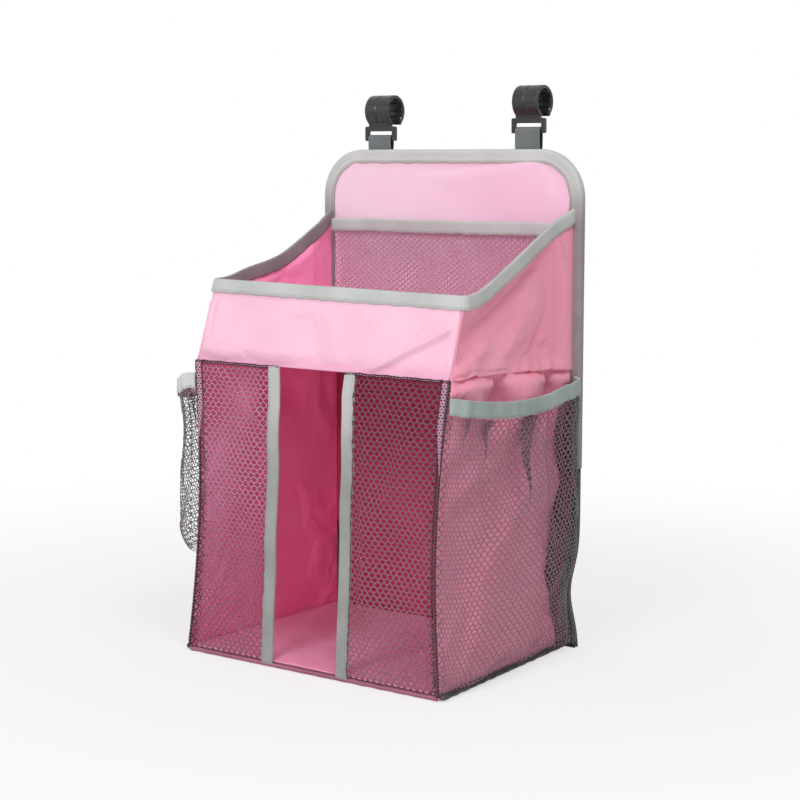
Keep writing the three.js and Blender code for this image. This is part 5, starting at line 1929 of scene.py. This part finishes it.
sheet = grid(60, 24, place)
sheet[..., 2] += 0.15 * mm * np.sin(sheet[..., 0] / (9 * mm)) * to_edges(sheet, 0.2)
x = np.linspace(-strip_high.x + 4 * mm, strip_high.x - 4 * mm, 80)
row = level_path(x, flap_high.y - 5.5 * mm, flap_high.z + 0.75 * mm)
parts = [shell(sheet, 0.8 * mm, -1), stitches(row, upright)]
hinge_strip = piece("hinge_strip", parts, finishes, ["tray_hinge_tape"], None)
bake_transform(hinge_strip)

# %% [markdown]
# The flap lies on three narrow flanges of cloth, which are sewn into the seam of the tray.

# %% Ledges
ledge_width = 8.4 * mm
for name, sign, columns, rows in (("front", 0, 80, 16), ("left", -1, 8, 80), ("right", 1, 8, 80)):
    low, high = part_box("tray_ledge_" + name)

    def place(u, v):
        y = mix(low.y, high.y, v)
        z = (low.z + high.z) / 2
        if name == "front":
            return (2 * u - 1) * (wall_x(y) - 1.4 * mm), y, z
        wide = wall_x(y) - 1.2 * mm
        return sign * mix(wide - ledge_width, wide, u), y, z

    sheet = grid(columns, rows, place)
    limp = np.sin(sheet[..., 0] / (14 * mm) + sheet[..., 1] / (11 * mm))
    sheet[..., 2] += 0.2 * mm * limp * to_edges(sheet, 0.2)
    # The ledges use the deeper inside pink: painted shade.
    piece("ledge_" + name, [shell(sheet, 1.0 * mm)], [inner_pink_shade_glow], ["tray_ledge_" + name])

# %% [markdown]
# A strap is one length of webbing: up the back of the panel, round the clip's bar and down again,
# with both layers sewn to the panel in a box with a cross. The loop swings a little about the
# panel's top edge, so the strap rides on no body.

# %% Straps
strap_half = 12 * mm
web = 1.35 * mm
bar_radius = 1.6 * mm
strap_low, strap_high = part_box("strap_loop_left")
strap_y = (strap_low.y + strap_high.y) / 2
box_half, box_foot, box_top = 9.2 * mm, 4 * mm, 28 * mm
reach = bar_radius + web / 2 + 0.15 * mm
half = web / 2 + 0.03 * mm
edge_x = strap_half - 0.5 * mm
across = np.linspace(-edge_x, edge_x, 18)
section = [(web / 2, a) for a in across] + [(0.0, strap_half)]
section += [(-web / 2, a) for a in across[::-1]] + [(0.0, -strap_half)]
for side, sign in sides:
    tail_low, tail_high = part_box("strap_tail_" + side)
    middle_x = (tail_low.x + tail_high.x) / 2
    bar_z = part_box("strap_loop_" + side)[1].z - bar_radius - 1.7 * mm
    rising = [(-half, z) for z in np.linspace(tail_low.z + 0.3 * mm, 403 * mm, 16)]
    rising += [(-half - 0.5 * mm, 406.5 * mm), (-half - 1.4 * mm, 411 * mm)]
    rising += [(-reach * 0.96, bar_z - 2.2 * mm)]
    over = [(-reach * math.cos(a), bar_z + reach * math.sin(a)) for a in np.linspace(0, math.pi, 13)]
    line = rising + over + [(-y, z) for y, z in rising[::-1]]
    bends = np.array([(0.0, strap_y + y, z) for y, z in line])
    path = refine_one_way(bends[:, None], 4)[:, 0]
    path[:, 0] = middle_x
    away = np.cross(sideways, directions(path))
    # The rear layer of the strap is coloured near black, much darker than its front.
    parts = [refinished(carried(path, away, sideways, section), 2, lambda m: m[:, 1] > strap_y)]
    low_z, high_z = tail_low.z + box_foot, tail_low.z + box_top
    corners = np.array([(-box_half, low_z), (box_half, low_z), (box_half, high_z), (-box_half, high_z)])
    for a, b in ((0, 1), (1, 2), (2, 3), (3, 0), (0, 2), (1, 3)):
        flat = mix(corners[a], corners[b], np.linspace(0, 1, 12)[:, None])
        row = np.stack([middle_x + flat[:, 0], np.full(12, strap_y + web + 0.03 * mm), flat[:, 1]], axis=1)
        parts.append(stitches(row, behind, 2.6 * mm, 1.9 * mm, 0.26 * mm))
    finishes = [webbing_finish, sewing_thread, dark_webbing]
    solids = ["strap_tail_" + side, "strap_loop_" + side]
    strap = piece("strap_" + side, parts, finishes, solids, None)
    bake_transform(strap)

# %% [markdown]
# The clips are moulded: a plate with a slot and a bar, a neck that leans back in an S, and an open
# ring with grip ribs inside and a groove round its middle. Moulded parts have no sharp edges
# anywhere. So the bodies are made with crisp outlines, joined by a fine remesh, and smoothed.

# %% Clip bodies
def prism(outline, low, high, plane):
    """A closed body between two x values with an outline in y and z, or the same along y."""
    outline = np.asarray(outline, float)
    count = len(outline)
    rings = []
    for level in (low, high):
        columns = [outline[:, 0], outline[:, 1]]
        columns.insert(0 if plane == "yz" else 1, np.full(count, level))
        rings.append(np.stack(columns, axis=1))
    faces = [(k, (k + 1) % count, (k + 1) % count + count, k + count) for k in range(count)]
    faces += [tuple(range(count))[::-1], tuple(range(count, 2 * count))]
    return outward(part(np.concatenate(rings), faces, np.zeros((2 * count, 2))))


def round_box(low_x, high_x, low_z, high_z, radius, depth):
    outline = []
    right, left, top, foot = high_x - radius, low_x + radius, high_z - radius, low_z + radius
    for cx, cz, first in ((right, top, 0), (left, top, 90), (left, foot, 180), (right, foot, 270)):
        for angle in np.radians(first + 15 * np.arange(7)):
            outline.append((cx + radius * math.cos(angle), cz + radius * math.sin(angle)))
    return prism(outline, -depth / 2, depth / 2, "xz")


def quadratic(a, b, c, steps=10):
    t = np.linspace(0, 1, steps + 1)[:, None]
    return (1 - t) ** 2 * np.array(a) + 2 * t * (1 - t) * np.array(b) + t**2 * np.array(c)


plate_half, plate_low, plate_high, plate_depth = 15.75 * mm, -2.2 * mm, 10.2 * mm, 4.5 * mm
slot_half, slot_top = 12.75 * mm, 6.0 * mm
ring_outer, ring_wall, ring_half = 13.5 * mm, 3.0 * mm, 12.0 * mm
ring_y, ring_z = 5.4 * mm, plate_high - 0.3 * mm + ring_outer
ring_from, ring_to = -57.0, 246.0
rib_count, rib_height = 7, 0.8 * mm


edge_round = 0.9 * mm
groove_depth, lip_height = 0.85 * mm, 0.7 * mm


def ring_part():
    """The open ring: a grooved band with round edges, a lip at its mouth and ribs inside."""
    angles = np.radians(np.linspace(ring_from, ring_to, 240))
    share = np.linspace(0, 1, 240)
    widths = ring_half * np.sin(np.linspace(-1, 1, 49) * np.pi / 2)
    off_middle = np.abs(widths)
    near_side = np.clip((off_middle - (ring_half - edge_round)) / edge_round, 0, 1)
    rounding = edge_round * (1 - np.sqrt(np.clip(1 - near_side**2, 0, 1)))
    groove = groove_depth * (1 - smooth((off_middle - 0.55 * mm) / (0.5 * mm)))
    rib = rib_height * np.abs(np.sin(np.pi * rib_count * share)) ** 5
    rib_ends = 1 - smooth((off_middle - (ring_half - 1.6 * mm)) / (0.8 * mm))
    lip = lip_height * bell(angles, angles[0] + 0.05, 0.1)
    sections = []
    for k in range(len(angles)):
        clear = smooth((math.degrees(angles[-1] - angles[k]) - 4) / 6)
        outer = ring_outer - rounding - groove * clear + lip[k]
        inner = ring_outer - ring_wall + rounding - rib[k] * rib_ends
        sections.append(np.stack([[*outer, *inner[::-1]], [*widths, *widths[::-1]]], axis=1))
    at = np.tile([0.0, ring_y, ring_z], (len(angles), 1))
    out = np.stack([np.zeros(len(angles)), np.cos(angles), np.sin(angles)], axis=1)
    return carried(at, out, sideways, np.array(sections))


def clip_parts():
    """The bodies of a clip, with the bar's middle at the origin: they overlap where they join."""
    half = plate_depth / 2
    drop = 7.4 * mm
    neck_top = ring_z - drop
    neck_front = ring_y - math.sqrt(ring_outer**2 - drop**2) + 0.6 * mm
    foot = slot_top + 1 * mm
    front = quadratic((-half, foot), (-half, (plate_high + neck_top) / 2), (neck_front, neck_top))
    rear = quadratic((neck_front + 2.2 * mm, neck_top), (half, plate_high + 2.0 * mm), (half, foot))
    neck = prism(np.concatenate([front, rear]), -ring_half + 0.7 * mm, ring_half - 0.7 * mm, "yz")
    top_bar = round_box(-plate_half, plate_half, slot_top, plate_high, 1.6 * mm, plate_depth)
    leg = plate_half - slot_half
    leg_top = plate_high - 0.5 * mm
    lefts = (-plate_half, slot_half)
    legs = [round_box(x, x + leg, plate_low, leg_top, 1.2 * mm, plate_depth) for x in lefts]
    across = np.linspace(-slot_half - 1.5 * mm, slot_half + 1.5 * mm, 12)
    bar = carried(level_path(across, 0.0, 0.0), behind, upright, oval_section(bar_radius, bar_radius, 24))
    return [ring_part(), neck, top_bar, bar] + legs


voxel = 0.36 * mm
for side, sign in sides:
    low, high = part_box("rail_clip_" + side)
    rough = piece("clip_rough_" + side, clip_parts(), [clip_plastic], body=None)
    remesh = rough.modifiers.new("join", "REMESH")
    remesh.mode = "VOXEL"
    remesh.voxel_size = voxel
    soften = rough.modifiers.new("soften", "SMOOTH")
    soften.factor = 0.5
    soften.iterations = 4
    finished = bpy.data.meshes.new_from_object(rough.evaluated_get(bpy.context.evaluated_depsgraph_get()))
    finished.name = "clip_" + side
    bpy.data.objects.remove(rough)
    clip = placed("clip_ring_" + side, finished)
    shift = np.array([(low.x + high.x) / 2, strap_y, low.z - plate_low])
    points = np.zeros(len(finished.vertices) * 3)
    finished.vertices.foreach_get("co", points)
    finished.vertices.foreach_set("co", (points.reshape(-1, 3) + shift).ravel())
    finished.polygons.foreach_set("use_smooth", np.ones(len(finished.polygons), bool))
    finished.materials.clear()
    finished.materials.append(clip_plastic)
    finished.update()
    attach(clip, "clip_" + side)
    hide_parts("rail_clip_" + side)
    print("clip", side, "faces", len(finished.polygons))

# %% [markdown]
# The nets and the cloth walls are printed with the sizes they were cut to, and with how much of
# that their cloth covers. A net covers little of its own outline, so its area is that of the thread alone.

# %% Sizes the sheets were cut to
for made, width, height, held, holders in declared:
    one_side = sum(polygon.area for polygon in made.data.polygons) / 2
    share = one_side / width / height
    print(made.name, "cut", round(width / mm), "by", round(height / mm), "mm, cloth covers", round(share, 2))

# %% [markdown]
# Both boxes are printed: that of the imported solids and that of the dressed scene. The
# dressed part may not outgrow the solids.

# %% Boxes of the part and of the scene
def plain(box):
    return [[round(float(c), 5) for c in corner] for corner in box]


{"cad": plain(cad_box), "visual": plain(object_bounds())}
print("cad", plain(cad_box), "visual", plain(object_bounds()))
